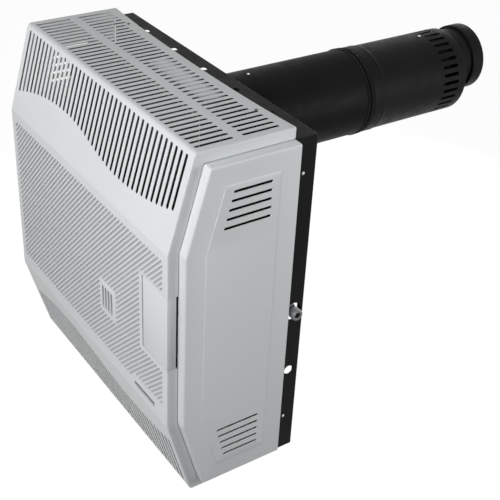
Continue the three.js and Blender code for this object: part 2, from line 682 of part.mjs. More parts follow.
/** The part of the cover's lip that would stand in the gap behind the control door. */
const doorNotch = block(
  HALF - COVER_LIP, HALF - SHEET + FIT, FRONT_Y - 1, FRONT_Y + FLANGE_WIDTH + COVER_GAP - FIT,
  DOOR_BOTTOM - DOOR_GAP, DOOR_TOP + DOOR_GAP,
);
const rightCover = sideCover();
add(heater, 'side_cover_right', cut(rightCover, doorNotch), paleGrey);
add(heater, 'side_cover_left', mirrored(rightCover), paleGrey);

// ---------- wall pan ----------
const PIPE_HOLE_X = 232;

function wallPan() {
  const w = PAN_HALF_WIDTH;
  const outside = block(-w, w, PAN_PLATE_FRONT, 0, PAN_BOTTOM, PAN_TOP);
  const hollow = block(
    -w + SHEET, w - SHEET, PAN_PLATE_FRONT + SHEET, -SHEET, PAN_BOTTOM + SHEET, PAN_TOP - SHEET,
  );
  const mouth = block(-w + PAN_LIP, w - PAN_LIP, -SHEET - 1, 1, PAN_BOTTOM + PAN_LIP, PAN_TOP - PAN_LIP);
  const cutters = [hollow, mouth];
  const platePair = [PAN_PLATE_FRONT - 2, PAN_PLATE_FRONT + SHEET + 2];
  cutters.push(bar(vec(0, platePair[0], FLUE_Z), vec(0, platePair[1], FLUE_Z), SPIGOT_RADIUS, ROUND_SIDES));
  cutters.push(bar(
    vec(PIPE_HOLE_X, platePair[0], INLET.z), vec(PIPE_HOLE_X, platePair[1], INLET.z),
    INLET.tubeRadius + 2, 12,
  ));
  for (let i = -2; i <= 2; i += 1) {
    const [x, y] = [i * PAN_TOP_HOLE_PITCH, -PAN_TOP_HOLE_SETBACK];
    cutters.push(bar(vec(x, y, PAN_TOP - 4), vec(x, y, PAN_TOP + 2), PAN_TOP_HOLE_RADIUS, 12));
  }
  const side = PAN_SIDE_HOLE;
  const sideHole = (y, z, radius) => bar(vec(w - 4, y, z), vec(w + 2, y, z), radius, 16);
  cutters.push(sideHole(-side.setback, side.z, side.radius), sideHole(INLET.y, INLET.z, INLET.holeRadius));
  for (const z of Object.values(PAN_SCREW_HEIGHTS)) {
    cutters.push(sideHole(-PAN_SCREW_SETBACK, z, SCREW_RADIUS + FIT));
    cutters.push(mirrored(sideHole(-PAN_SCREW_SETBACK, z, SCREW_RADIUS + FIT)));
  }
  for (const x of [-w + PAN_LIP / 2, w - PAN_LIP / 2]) {
    for (const z of [PAN_BOTTOM + 60, PAN_TOP - 60]) {
      cutters.push(bar(vec(x, -4, z), vec(x, 2, z), WALL_HOLE_RADIUS, 8));
    }
  }
  return cut(outside, ...cutters);
}

const SPIGOT_RADIUS = DUCT_RADIUS - DUCT_WALL - FIT;
add(heater, 'wall_pan', wallPan(), black);

/** A pan-head screw along its own Y: the shank runs from -length to 0 and the head stands above 0. */
function screw(length, headHeight = 2) {
  return turned([
    [0, -length], [SCREW_RADIUS, -length], [SCREW_RADIUS, 0], [SCREW_HEAD_RADIUS, 0],
    [SCREW_HEAD_RADIUS - 1, headHeight], [0, headHeight],
  ], 8);
}

const pointingUp = (body) => body.rotate([90, 0, 0]);

for (const [side, sign] of [['right', 1], ['left', -1]]) {
  for (const [level, z] of Object.entries(PAN_SCREW_HEIGHTS)) {
    const outward = screw(6).rotate([0, 0, -90 * sign]);
    const x = sign * (PAN_HALF_WIDTH + FIT);
    add(heater, `pan_screw_${level}_${side}`, outward, stainless, [x, -PAN_SCREW_SETBACK, z]);
  }
}

// ---------- hangers of the casing ----------
const BRACKET_TAB = 40; // overlap with the pan's plate

function topBracket() {
  const top = CASING_HEIGHT - SHEET - FIT;
  const half = 15;
  const front = PAN_PLATE_FRONT - FIT;
  const tab = block(-half, half, front - SHEET, front, PAN_TOP - BRACKET_TAB, top);
  const shelf = block(-half, half, CASING_SCREW_Y - 14, front, top - SHEET, top);
  const hole = bar(vec(0, CASING_SCREW_Y, top - 4), vec(0, CASING_SCREW_Y, top + 2), SCREW_RADIUS + FIT, 12);
  return cut(join(tab, shelf), hole);
}

for (const [side, sign] of [['left', -1], ['right', 1]]) {
  add(heater, `top_bracket_${side}`, topBracket(), black, [sign * CASING_SCREW_X, 0, 0]);
  const upward = pointingUp(screw(7, 1.6));
  const seat = [sign * CASING_SCREW_X, CASING_SCREW_Y, CASING_HEIGHT + FIT];
  add(heater, `casing_screw_${side}`, upward, stainless, seat);
}

// ---------- air duct ----------
const plateRear = PAN_PLATE_FRONT + SHEET;
const SPIGOT_END_Y = 76;
const innerOf = (radius) => radius - DUCT_WALL;
const screwHole = (y) => bar(
  vec(0, y, DUCT_RADIUS - 8), vec(0, y, DUCT_RADIUS + 8), SCREW_RADIUS + FIT, 12,
);

add(duct, 'duct_spigot', cut(turned([
  [SPIGOT_RADIUS - DUCT_WALL, plateRear + FIT], [SPIGOT_RADIUS + 15, plateRear + FIT],
  [SPIGOT_RADIUS + 15, plateRear + FIT + SHEET], [SPIGOT_RADIUS, plateRear + FIT + SHEET],
  [SPIGOT_RADIUS, SPIGOT_END_Y], [SPIGOT_RADIUS - DUCT_WALL, SPIGOT_END_Y],
]), screwHole(DUCT_SCREW_YS.inner)), galvanised);

const innerSectionStart = plateRear + 2 * FIT + SHEET;
add(duct, 'outer_duct_inner', cut(turned([
  [innerOf(DUCT_RADIUS), innerSectionStart], [DUCT_RADIUS, innerSectionStart],
  [DUCT_RADIUS, DUCT_JOINT_Y - 7], [DUCT_RADIUS + BEAD, DUCT_JOINT_Y - 4],
  [DUCT_RADIUS + BEAD * 0.3, DUCT_JOINT_Y], [innerOf(DUCT_RADIUS), DUCT_JOINT_Y],
]), screwHole(DUCT_SCREW_YS.inner)), black);

const outerStart = DUCT_JOINT_Y + 2;
const coupler = innerOf(DUCT_RADIUS) - FIT;
const outer = DUCT_OUTER_SECTION_RADIUS;
add(duct, 'outer_duct_outer', cut(turned([
  [coupler - DUCT_WALL, DUCT_JOINT_Y - 30], [coupler, DUCT_JOINT_Y - 30], [coupler, outerStart],
  [outer + BEAD, outerStart + 3], [outer + BEAD * 0.5, outerStart + 8], [outer, outerStart + 34],
  [outer, INTAKE_START_Y - FIT], [innerOf(outer), INTAKE_START_Y - FIT], [innerOf(outer), outerStart + 4],
  [coupler - DUCT_WALL, outerStart],
]), screwHole(DUCT_SCREW_YS.outer)), black);

function intakeRing() {
  const sleeve = innerOf(outer) - FIT;
  const shell = turned([
    [sleeve - DUCT_WALL, INTAKE_START_Y - 22], [sleeve, INTAKE_START_Y - 22], [sleeve, INTAKE_START_Y],
    [outer, INTAKE_START_Y], [outer, DUCT_END_Y - 1.5], [outer - 1, DUCT_END_Y],
    [outer - RIM_WIDTH, DUCT_END_Y], [outer - RIM_WIDTH, DUCT_END_Y - DUCT_WALL],
    [innerOf(outer), DUCT_END_Y - DUCT_WALL - 1],
    [innerOf(outer), INTAKE_START_Y + 3], [sleeve - DUCT_WALL, INTAKE_START_Y],
  ], INTAKE_SIDES);
  const cutters = Array.from({ length: INTAKE_SLOTS }, (_, i) => {
    const outline = slotOutline(
      0, INTAKE_SLOT_START_Y, INTAKE_SLOT_START_Y + INTAKE_SLOT_LENGTH, INTAKE_SLOT_WIDTH,
    );
    const geometry = prismGeometry('z', outline, outer - 8, outer + 5);
    return geometry.rotateY(((i + 0.5) * 2 * Math.PI) / INTAKE_SLOTS);
  });
  return cut(shell, tools(cutters));
}

add(duct, 'intake_ring', cut(intakeRing(), screwHole(DUCT_SCREW_YS.outer)), black);

function eccentric(body) {
  const hole = bar(
    vec(0, INTAKE_START_Y - 400, FLUE_RISE), vec(0, CAP_END_Y, FLUE_RISE), FLUE_RADIUS + FIT, ROUND_SIDES,
  );
  return cut(body, hole);
}

const discRadius = innerOf(outer) - 3 * FIT;
const terminal = bar(vec(0, DUCT_END_Y - 5, 0), vec(0, DUCT_END_Y - 5 + SHEET, 0), discRadius, ROUND_SIDES);
add(duct, 'terminal_plate', eccentric(terminal), black);

/** A band round the flue tube with two legs that stand on the duct's inner wall. */
function flueSupport() {
  const reach = innerOf(DUCT_RADIUS) - FIT;
  const [rear, front] = [SUPPORT_Y, SUPPORT_Y + 1.5];
  const band = bar(vec(0, rear, FLUE_RISE), vec(0, front, FLUE_RISE), FLUE_RADIUS + 2.4, ROUND_SIDES);
  const legs = [-32, 32].map((x) => block(x - 7, x + 7, rear, front, -reach, 0));
  const limit = bar(vec(0, rear - 1, 0), vec(0, front + 1, 0), reach, ROUND_SIDES);
  return eccentric(join(band, ...legs).intersect(limit));
}

add(duct, 'flue_support', flueSupport(), galvanised);

for (const [place, radius] of [['inner', DUCT_RADIUS], ['outer', outer]]) {
  const upward = pointingUp(screw(3, 1.8));
  add(duct, `duct_screw_${place}`, upward, stainless, [0, DUCT_SCREW_YS[place], radius + FIT]);
}

// ---------- flue ----------
const flueStart = CHAMBER_BACK - SHEET - 4;
add(flue, 'flue_tube', ring(FLUE_RADIUS - FLUE_WALL, FLUE_RADIUS, flueStart, CAP_START_Y + 6), black);
add(flue, 'flue_cap', turned([
  [FLUE_RADIUS + FIT, CAP_START_Y], [CAP_RADIUS, CAP_START_Y],
  [CAP_RADIUS, CAP_END_Y - 1], [CAP_RADIUS - 1, CAP_END_Y], [CAP_RADIUS - 2.4, CAP_END_Y],
  [CAP_RADIUS - 2.4, CAP_START_Y + 8], [FLUE_RADIUS + FIT, CAP_START_Y + 8],
]), black);

// ---------- air box and chamber ----------
/** A pressed tray in the XZ plane: a plate at `face`, walls to `mouth` and a flange round the mouth. */
function tray({ left, right, bottom, top }, face, mouth, flange) {
  const inward = Math.sign(mouth - face);
  const span = (a, b) => [Math.min(a, b), Math.max(a, b)];
  const shell = block(left, right, ...span(face, mouth), bottom, top);
  const hollow = block(
    left + SHEET, right - SHEET,
    ...span(face + inward * SHEET, mouth + inward * 5), bottom + SHEET, top - SHEET,
  );
  if (flange === 0) {
    return cut(shell, hollow);
  }
  const rim = block(
    left - flange, right + flange, ...span(mouth, mouth - inward * SHEET), bottom - flange, top + flange,
  );
  return cut(join(shell, rim), hollow);
}

const flueHole = bar(
  vec(0, CHAMBER_FACE, FLUE_Z + FLUE_RISE), vec(0, PAN_PLATE_FRONT, FLUE_Z + FLUE_RISE),
  FLUE_RADIUS + FIT, ROUND_SIDES,
);
const airInlet = block(
  -AIR_INLET.halfWidth, AIR_INLET.halfWidth, CHAMBER_BACK - 8, AIR_BOX_FRONT + 8,
  AIR_INLET.bottom, AIR_INLET.bottom + AIR_INLET.height,
);
const airBoxSides = { ...AIR_BOX, left: -AIR_BOX.halfWidth, right: AIR_BOX.halfWidth };
add(
  heater, 'air_box',
  cut(tray(airBoxSides, AIR_BOX_FRONT, PAN_PLATE_FRONT - FIT, 0), flueHole, airInlet), galvanised,
);

const tubeHole = (z, radius) => bar(
  vec(CHAMBER.right - 5, PILOT.y, z), vec(CHAMBER.right + 5, PILOT.y, z), radius + TUBE_HOLE_CLEARANCE, 12,
);
const PILOT_TUBE_RADIUS = 2;
const THERMOCOUPLE_TUBE_RADIUS = 1.6;
const IGNITION_LEAD_RADIUS = 2.5;
const burnerHole = bar(
  vec(CHAMBER.right - 5, BURNER_Y, BURNER_Z), vec(CHAMBER.right + 5, BURNER_Y, BURNER_Z),
  BURNER_RADIUS + FIT, 24,
);
add(
  heater, 'chamber_rear',
  cut(tray(CHAMBER, CHAMBER_BACK, REAR_FLANGE_FRONT, CHAMBER_FLANGE), flueHole, airInlet, burnerHole),
  chamberSteel,
);
add(
  heater, 'chamber_front',
  cut(
    tray(CHAMBER, CHAMBER_FACE, FRONT_FLANGE_BACK, CHAMBER_FLANGE),
    block(WINDOW_X - 18, WINDOW_X + 18, CHAMBER_FACE - 2, CHAMBER_FACE + 4, WINDOW_Z - 21, WINDOW_Z + 21),
    tubeHole(PILOT_TUBE_Z, PILOT_TUBE_RADIUS),
    tubeHole(THERMOCOUPLE_TUBE_Z, THERMOCOUPLE_TUBE_RADIUS),
    tubeHole(IGNITION_TUBE_Z, IGNITION_LEAD_RADIUS),
  ),
  chamberSteel,
);

function frameBetween(outerBox, innerBox, low, high) {
  const outside = block(outerBox[0], outerBox[1], low, high, outerBox[2], outerBox[3]);
  return cut(outside, block(innerBox[0], innerBox[1], low - 1, high + 1, innerBox[2], innerBox[3]));
}

add(heater, 'chamber_gasket', frameBetween(
  [
    CHAMBER.left - CHAMBER_FLANGE, CHAMBER.right + CHAMBER_FLANGE,
    CHAMBER.bottom - CHAMBER_FLANGE, CHAMBER.top + CHAMBER_FLANGE,
  ],
  [CHAMBER.left, CHAMBER.right, CHAMBER.bottom, CHAMBER.top], GASKET_FRONT, GASKET_FRONT + GASKET,
), fibre);

const FOOT = { half: 12, bottom: 190, top: 230 };
for (const [side, x] of [['left', CHAMBER.left + 30], ['right', CHAMBER.right - 22]]) {
  const [front, rear] = [CHAMBER_BACK + FIT, PAN_PLATE_FRONT - FIT];
  const channel = cut(
    block(-FOOT.half, FOOT.half, front, rear, FOOT.bottom, FOOT.top),
    block(-FOOT.half + SHEET, FOOT.half - SHEET, front + SHEET, rear - SHEET, FOOT.bottom - 1, FOOT.top + 1),
  );
  add(heater, `chamber_foot_${side}`, channel, galvanised, [x, 0, 0]);
}

// ---------- sight glass ----------
const GLASS = { halfWidth: 23, halfHeight: 26, thickness: 3 };
const FRAME_BORDER = 7;
const glassRear = CHAMBER_FACE - 2 * FIT;
add(heater, 'sight_glass', block(
  -GLASS.halfWidth, GLASS.halfWidth, glassRear - GLASS.thickness, glassRear,
  -GLASS.halfHeight, GLASS.halfHeight,
), glass, [WINDOW_X, 0, WINDOW_Z]);

function glassFrame() {
  const [w, h] = [GLASS.halfWidth, GLASS.halfHeight];
  const front = glassRear - GLASS.thickness - FIT - SHEET;
  const [wide, high] = [w + FRAME_BORDER, h + FRAME_BORDER];
  const body = block(-wide, wide, front, CHAMBER_FACE - FIT, -high, high);
  const pocket = block(-w - FIT, w + FIT, front + SHEET, CHAMBER_FACE + 1, -h - FIT, h + FIT);
  const view = block(-w + 4, w - 4, front - 1, CHAMBER_FACE + 1, -h + 4, h - 4);
  return cut(body, pocket, view);
}

add(heater, 'sight_glass_frame', glassFrame(), galvanised, [WINDOW_X, 0, WINDOW_Z]);

// ---------- burner ----------
const BURNER_LEFT = CHAMBER.left + 22;
const BURNER_RIGHT = CHAMBER.right + 8;

function burnerBar() {
  const tube = bar(vec(BURNER_LEFT, 0, 0), vec(BURNER_RIGHT, 0, 0), BURNER_RADIUS, BURNER_SIDES);
  const [boreStart, boreEnd] = [vec(BURNER_LEFT + SHEET, 0, 0), vec(BURNER_RIGHT + 5, 0, 0)];
  const bore = bar(boreStart, boreEnd, BURNER_RADIUS - SHEET, BURNER_SIDES);
  const pitch = (CHAMBER.right - BURNER_LEFT - 40) / BURNER_PORTS;
  const ports = Array.from({ length: BURNER_PORTS }, (_, i) => {
    const x = BURNER_LEFT + 20 + i * pitch;
    return boxGeometry(
      x - 1.2, x + 1.2, -PORT_HALF_LENGTH, PORT_HALF_LENGTH, BURNER_RADIUS - 5, BURNER_RADIUS + 3,
    );
  });
  return cut(tube, bore, tools(ports));
}

add(heater, 'burner_bar', burnerBar(), stainless, [0, BURNER_Y, BURNER_Z]);

for (const [side, x] of [['left', BURNER_LEFT + 12], ['right', CHAMBER.right - 40]]) {
  const floor = CHAMBER.bottom + SHEET + FIT;
  const stand = block(-1, 1, REAR_FLANGE_FRONT + 3, CHAMBER_BACK - SHEET - FIT, floor, BURNER_Z - 4);
  const foot = block(-1, 12, REAR_FLANGE_FRONT + 3, CHAMBER_BACK - SHEET - FIT, floor, floor + 1.5);
  const saddle = bar(vec(-3, BURNER_Y, BURNER_Z), vec(14, BURNER_Y, BURNER_Z), BURNER_RADIUS + FIT, 24);
  add(heater, `burner_bracket_${side}`, cut(join(stand, foot), saddle), galvanised, [x, 0, 0]);
}

const INJECTOR_LENGTH = 20;
add(heater, 'injector', cut(
  join(
    bar(vec(FIT, 0, 0), vec(INJECTOR_LENGTH, 0, 0), 8, 6),
    bar(vec(FIT, 0, 0), vec(4, 0, 0), BURNER_RADIUS, 24),
  ),
  bar(vec(-1, 0, 0), vec(INJECTOR_LENGTH - 4, 0, 0), 2.5, 12),
), brass, [BURNER_RIGHT, BURNER_Y, BURNER_Z]);

// ---------- pilot ----------
const SHELF_THICKNESS = 1.5;

function pilotBracket() {
  const wall = CHAMBER.right - SHEET - FIT;
  const shelf = block(
    PILOT.x - 9, wall, PILOT.y - 8, PILOT.y + 8, PILOT.shelfZ, PILOT.shelfZ + SHELF_THICKNESS,
  );
  const tab = block(wall - SHELF_THICKNESS, wall, PILOT.y - 8, PILOT.y + 8, PILOT.shelfZ, PILOT.shelfZ + 22);
  const hole = (x, radius) => bar(
    vec(x, PILOT.y, PILOT.shelfZ - 1), vec(x, PILOT.y, PILOT.shelfZ + 3), radius + FIT, 12,
  );
  return cut(
    join(shelf, tab), hole(PILOT.x, PILOT_TUBE_RADIUS),
    hole(PILOT.thermocouple, THERMOCOUPLE_TUBE_RADIUS), hole(PILOT.spark, IGNITION_LEAD_RADIUS),
  );
}

add(heater, 'pilot_bracket', pilotBracket(), galvanised);

const onShelf = PILOT.shelfZ + SHELF_THICKNESS + FIT;
const upright = (profile) => turned(profile, 12).rotate([90, 0, 0]);
add(heater, 'pilot_burner', upright([
  [0, 0], [5, 0], [5, 14], [4, 18], [4, 24], [2.5, 24], [2.5, 16], [0, 16],
]), brass, [PILOT.x, PILOT.y, onShelf]);
add(heater, 'thermocouple', upright([[0, 0], [3.5, 0], [3.5, 8], [2.4, 9], [2.4, 26], [1.4, 29], [0, 29]]),
  stainless, [PILOT.thermocouple, PILOT.y, onShelf]);
add(heater, 'spark_electrode', upright([[0, 0], [4, 0], [4, 3], [3, 4], [3, 20], [1, 21], [1, 30], [0, 30]]),
  ceramic, [PILOT.spark, PILOT.y, onShelf]);

// ---------- valve and controls ----------
function gasValve() {
  const v = VALVE;
  return join(
    block(v.left, v.right - FIT, v.front + GUIDE_LENGTH, v.rear, v.bottom, v.top),
    bar(vec(v.left - 14, v.rear - 26, v.top - 26), vec(v.left + 5, v.rear - 26, v.top - 26), 13, 24),
    bar(vec(v.left + 20, v.rear - 30, v.top - 5), vec(v.left + 20, v.rear - 30, v.top + 8), 11, 24),
  );
}

add(heater, 'gas_valve_body', gasValve(), aluminium);
add(
  heater, 'valve_spindle_guide',
  ring(COLLAR_RADIUS + 1, GUIDE_RADIUS, VALVE.front, VALVE.front + GUIDE_LENGTH - FIT, 24),
  aluminium, [KNOB_X, 0, KNOB_Z],
);

const plateRearY = CONTROL_PLATE.front + SHEET;

function controlPlate() {
  const p = CONTROL_PLATE;
  const sheet = block(p.left, p.right, p.front, plateRearY, p.bottom, p.top);
  const through = (x, z, radius) => bar(vec(x, p.front - 1, z), vec(x, plateRearY + 1, z), radius, 24);
  const collarHole = through(KNOB_X, KNOB_Z, COLLAR_RADIUS + KNOB_CLEARANCE);
  return cut(sheet, collarHole, through(PIEZO_X, PIEZO_Z, BUTTON_RADIUS + KNOB_CLEARANCE));
}

add(heater, 'control_plate', controlPlate(), galvanised);

/** A side plate from the pan to the controls, with a tab on the pan and one behind the control plate. */
function valveBracket() {
  const [left, rear, front] = [VALVE.right, PAN_PLATE_FRONT - FIT, plateRearY + FIT];
  const side = block(left, left + SHEET, front, rear, CONTROL_PLATE.bottom, CONTROL_PLATE.top);
  const window = block(
    left - 1, left + SHEET + 1, VALVE.rear + 15, rear - 12, CONTROL_PLATE.bottom + 20, CONTROL_PLATE.top - 20,
  );
  const rearTab = block(left - 20, left + SHEET, rear - SHEET, rear, CONTROL_PLATE.bottom, INLET.z - 12);
  const upperTab = block(left - 20, left + SHEET, rear - SHEET, rear, INLET.z + 12, CONTROL_PLATE.top);
  const low = block(left - 14, left + SHEET, front, front + SHEET, CONTROL_PLATE.bottom, VALVE.bottom - 12);
  const floor = CONTROL_PLATE.bottom;
  const shelf = block(PIEZO_X - 24, left + SHEET, front + 4, front + 34, floor, floor + SHEET);
  return join(cut(side, window), rearTab, upperTab, low, shelf);
}

add(heater, 'valve_bracket', valveBracket(), galvanised);

const knobGroup = new THREE.Group();
knobGroup.position.set(KNOB_X, 0, KNOB_Z);
heater.add(knobGroup);
const collarFront = KNOB_REAR + FIT;
const pushCollar = ring(SPINDLE_RADIUS + FIT, COLLAR_RADIUS, collarFront, VALVE.front + 2, 24);
add(knobGroup, 'push_collar', pushCollar, stainless);

const spindleFront = KNOB_FRONT + 5;
add(knobGroup, 'valve_spindle', bar(
  vec(0, spindleFront, 0), vec(0, VALVE.front + SPINDLE_REACH, 0), SPINDLE_RADIUS, 16,
), brass);

function controlKnob() {
  const skirt = turned([
    [0, KNOB_REAR], [KNOB_RADIUS, KNOB_REAR], [KNOB_RADIUS, KNOB_REAR - 5], [KNOB_RADIUS - 2, KNOB_REAR - 7],
    [KNOB_RADIUS - 4, KNOB_FRONT + 3], [KNOB_RADIUS - 6, KNOB_FRONT + 1.5], [0, KNOB_FRONT + 1.5],
  ], 24);
  const grip = block(-3.2, 3.2, KNOB_FRONT, KNOB_REAR - 4, -KNOB_RADIUS + 3, KNOB_RADIUS - 3);
  const bore = bar(vec(0, spindleFront - FIT, 0), vec(0, KNOB_REAR + 2, 0), SPINDLE_RADIUS + FIT, 16);
  return cut(join(skirt, grip), bore);
}

add(knobGroup, 'control_knob', controlKnob(), darkPlastic);

const piezoGroup = new THREE.Group();
piezoGroup.position.set(PIEZO_X, 0, PIEZO_Z);
heater.add(piezoGroup);
const piezoFront = plateRearY + FIT;
const boreEnd = BUTTON_FRONT + 36;
add(piezoGroup, 'piezo_body', turned([
  [0, boreEnd], [BUTTON_RADIUS + 0.4, boreEnd], [BUTTON_RADIUS + 0.4, piezoFront], [PIEZO_RADIUS, piezoFront],
  [PIEZO_RADIUS, PIEZO_REAR - 6], [PIEZO_RADIUS - 4, PIEZO_REAR - 5],
  [PIEZO_RADIUS - 4, PIEZO_REAR], [0, PIEZO_REAR],
], 24), darkPlastic);
add(piezoGroup, 'piezo_button', turned([
  [0, BUTTON_FRONT], [BUTTON_RADIUS - 1.2, BUTTON_FRONT], [BUTTON_RADIUS, BUTTON_FRONT + 1.2],
  [BUTTON_RADIUS, boreEnd - BUTTON_TRAVEL - 1], [0, boreEnd - BUTTON_TRAVEL - 1],
], 24), redPlastic);

// ---------- gas inlet ----------
const unionTip = PAN_HALF_WIDTH + INLET.tip;
const unionRear = PAN_HALF_WIDTH - 14;
const along = (from, to, radius, sides) => bar(
  vec(from, INLET.y, INLET.z), vec(to, INLET.y, INLET.z), radius, sides,
);
add(heater, 'gas_inlet_union', cut(
  join(
    along(unionRear, unionTip - 4, INLET.unionRadius - 1.5, 24),
    along(unionTip - 12, unionTip, INLET.unionRadius, 24),
    along(unionRear, unionRear + 9, INLET.unionRadius + 1, 6),
  ),
  along(unionRear + 6, unionTip + 1, INLET.boreRadius, 16),
), galvanised);

const valveFoot = VALVE.bottom - FIT;
const RISER_Y = -165;
add(heater, 'gas_inlet_pipe', wire([
  [unionRear - FIT, INLET.y, INLET.z], [PIPE_HOLE_X + 12, INLET.y, INLET.z],
  [PIPE_HOLE_X + 3, INLET.y - 3, INLET.z], [PIPE_HOLE_X, INLET.y - 12, INLET.z], [PIPE_HOLE_X, -80, INLET.z],
  [PIPE_HOLE_X, RISER_Y + 14, INLET.z], [PIPE_HOLE_X, RISER_Y + 3, INLET.z + 4],
  [PIPE_HOLE_X, RISER_Y, INLET.z + 14], [PIPE_HOLE_X, RISER_Y, valveFoot],
], INLET.tubeRadius, 24, 8), copper);

// ---------- tubes and leads ----------
const valveSide = VALVE.left - FIT;
const wallRight = CHAMBER.right;
add(heater, 'main_gas_pipe', wire([
  [valveSide, -160, 330], [valveSide - 6, -160, 330], [178, -159, 326], [173, -154, 308], [172, -135, 250],
  [172, -112, 195], [171, BURNER_Y - 3, 174], [168, BURNER_Y, BURNER_Z + 1],
  [164, BURNER_Y, BURNER_Z], [BURNER_RIGHT + INJECTOR_LENGTH + FIT, BURNER_Y, BURNER_Z],
], 4, 26, 8), copper);

/** The tube's path from a pilot part down under the shelf and out through the chamber's right wall. */
const throughWall = (x, z) => [
  [x, PILOT.y, PILOT.shelfZ + SHELF_THICKNESS], [x, PILOT.y, z + 8],
  [x + 2, PILOT.y, z + 2], [x + 8, PILOT.y, z],
  [wallRight - 3, PILOT.y, z], [wallRight + 4, PILOT.y, z], [wallRight + 12, PILOT.y, z],
];
add(heater, 'pilot_gas_pipe', wire([
  ...throughWall(PILOT.x, PILOT_TUBE_Z),
  [156, -139, 151], [180, -160, 168], [183, -172, 210], [182, -176, 300],
  [182.5, -177, 318], [valveSide - 5, -177, 326], [valveSide, -177, 326],
], PILOT_TUBE_RADIUS, 32), copper);
add(heater, 'thermocouple_lead', wire([
  ...throughWall(PILOT.thermocouple, THERMOCOUPLE_TUBE_Z),
  [156, -144, 161], [174, -178, 178], [180, -188, 210],
  [180, -190, 318], [182, -190, 334], [valveSide - 5, -190, 340], [valveSide, -190, 340],
], THERMOCOUPLE_TUBE_RADIUS, 32), copper);
add(heater, 'ignition_lead', wire([
  [PILOT.spark, PILOT.y, PILOT.shelfZ + SHELF_THICKNESS], [PILOT.spark, PILOT.y, IGNITION_TUBE_Z + 4],
  [PILOT.spark + 2, PILOT.y, IGNITION_TUBE_Z], [wallRight - 3, PILOT.y, IGNITION_TUBE_Z],
  [wallRight + 4, PILOT.y, IGNITION_TUBE_Z], [wallRight + 12, PILOT.y, IGNITION_TUBE_Z], [156, -141, 172],
  [194, -148, 195], [208, -138, 235], [PIEZO_X, -142, 272], [PIEZO_X, -150, PIEZO_Z - 1],
  [PIEZO_X, PIEZO_REAR + 6, PIEZO_Z], [PIEZO_X, PIEZO_REAR + FIT, PIEZO_Z],
], IGNITION_LEAD_RADIUS, 32), silicone);

// ---------- thermostat bulb ----------
const BULB = { left: 120, right: 200, y: -55, z: 60, radius: 5 };
const CAPILLARY_RADIUS = 1.2;
const CAPILLARY_X = 247;
const bulb = bar(vec(BULB.left, 0, 0), vec(BULB.right, 0, 0), BULB.radius, 16);
add(heater, 'thermostat_bulb', bulb, copper, [0, BULB.y, BULB.z]);

function bulbBracket() {
  const rear = PAN_PLATE_FRONT - FIT;
  const arm = block(-6, 6, BULB.y - BULB.radius - 2, rear, BULB.z - 1, BULB.z + 1);
  const foot = block(-6, 6, rear - SHEET, rear, BULB.z - 1, BULB.z + 16);
  const clip = bar(vec(-6, BULB.y, BULB.z), vec(6, BULB.y, BULB.z), BULB.radius + 2, 16);
  const bore = bar(vec(-7, BULB.y, BULB.z), vec(7, BULB.y, BULB.z), BULB.radius + FIT, 16);
  return cut(join(arm, foot, clip), bore);
}

add(heater, 'bulb_bracket', bulbBracket(), galvanised, [(BULB.left + BULB.right) / 2, 0, 0]);
add(heater, 'thermostat_capillary', wire([
  [CAPILLARY_X, -140, valveFoot], [CAPILLARY_X, -138, 300],
  [CAPILLARY_X, -112, 220], [CAPILLARY_X - 1, -80, 130],
  [CAPILLARY_X - 6, -60, 80], [232, BULB.y, 63], [218, BULB.y, BULB.z], [BULB.right + FIT, BULB.y, BULB.z],
], CAPILLARY_RADIUS, 20), copper);

export default root;
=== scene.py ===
"""A balanced-flue gas wall heater, dressed for a studio picture.

Every length is in metres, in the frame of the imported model: X along the wall, +Y into the wall, +Z up,
with the wall's surface at Y = 0. Each visible sheet-metal surface is worked out with numpy.
"""

import json
import logging
import math
from collections.abc import Callable, Iterator, Sequence
from contextlib import contextmanager
from dataclasses import dataclass, field
from enum import Enum

import bmesh
import bpy
import numpy as np
from mathutils import Matrix, Vector
from mathutils.geometry import delaunay_2d_cdt


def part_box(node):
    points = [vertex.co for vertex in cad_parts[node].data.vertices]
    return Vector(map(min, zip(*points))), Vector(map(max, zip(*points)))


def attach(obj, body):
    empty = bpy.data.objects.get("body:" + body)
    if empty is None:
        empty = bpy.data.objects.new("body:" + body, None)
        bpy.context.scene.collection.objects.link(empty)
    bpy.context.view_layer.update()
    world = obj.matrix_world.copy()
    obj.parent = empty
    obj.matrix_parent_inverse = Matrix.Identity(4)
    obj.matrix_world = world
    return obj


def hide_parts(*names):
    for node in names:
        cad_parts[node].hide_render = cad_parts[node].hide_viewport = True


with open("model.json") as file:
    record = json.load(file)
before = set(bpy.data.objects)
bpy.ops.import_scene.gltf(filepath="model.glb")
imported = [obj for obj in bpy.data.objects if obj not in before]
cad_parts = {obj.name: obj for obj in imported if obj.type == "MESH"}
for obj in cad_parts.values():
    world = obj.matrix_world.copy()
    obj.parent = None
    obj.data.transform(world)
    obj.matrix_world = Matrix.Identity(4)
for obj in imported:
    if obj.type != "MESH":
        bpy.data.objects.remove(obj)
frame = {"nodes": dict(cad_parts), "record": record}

logging.basicConfig(level=logging.INFO, format="%(message)s")
log = logging.getLogger("heater")

MM = 0.001
SHARP_ANGLE = math.radians(28)
PAN_HALF_WIDTH = 267.5 * MM
CLEARANCE = 0.3 * MM
NEAR_ZERO = 1e-9
TO_ROOM = np.array([0, -1, 0])
TO_WALL = np.array([0, 1, 0])
WHITE = (1.0, 1.0, 1.0, 1.0)
Array = np.ndarray
Flat = tuple[float, float]
Point = tuple[float, float, float]
Span = tuple[float, float, float, float]
Tree = bpy.types.NodeTree
Socket = bpy.types.NodeSocket


class Side(Enum):
    """The two ends of the casing, by the sign of X."""

    LEFT = -1
    RIGHT = 1


class Body(Enum):
    """The rigid bodies that pieces ride on."""

    HEATER = "heater"
    DOOR = "door"
    KNOB_SLIDE = "knob_slide"
    KNOB = "knob"
    BUTTON = "igniter_button"


# ---------------------------------------------------------------- finishes


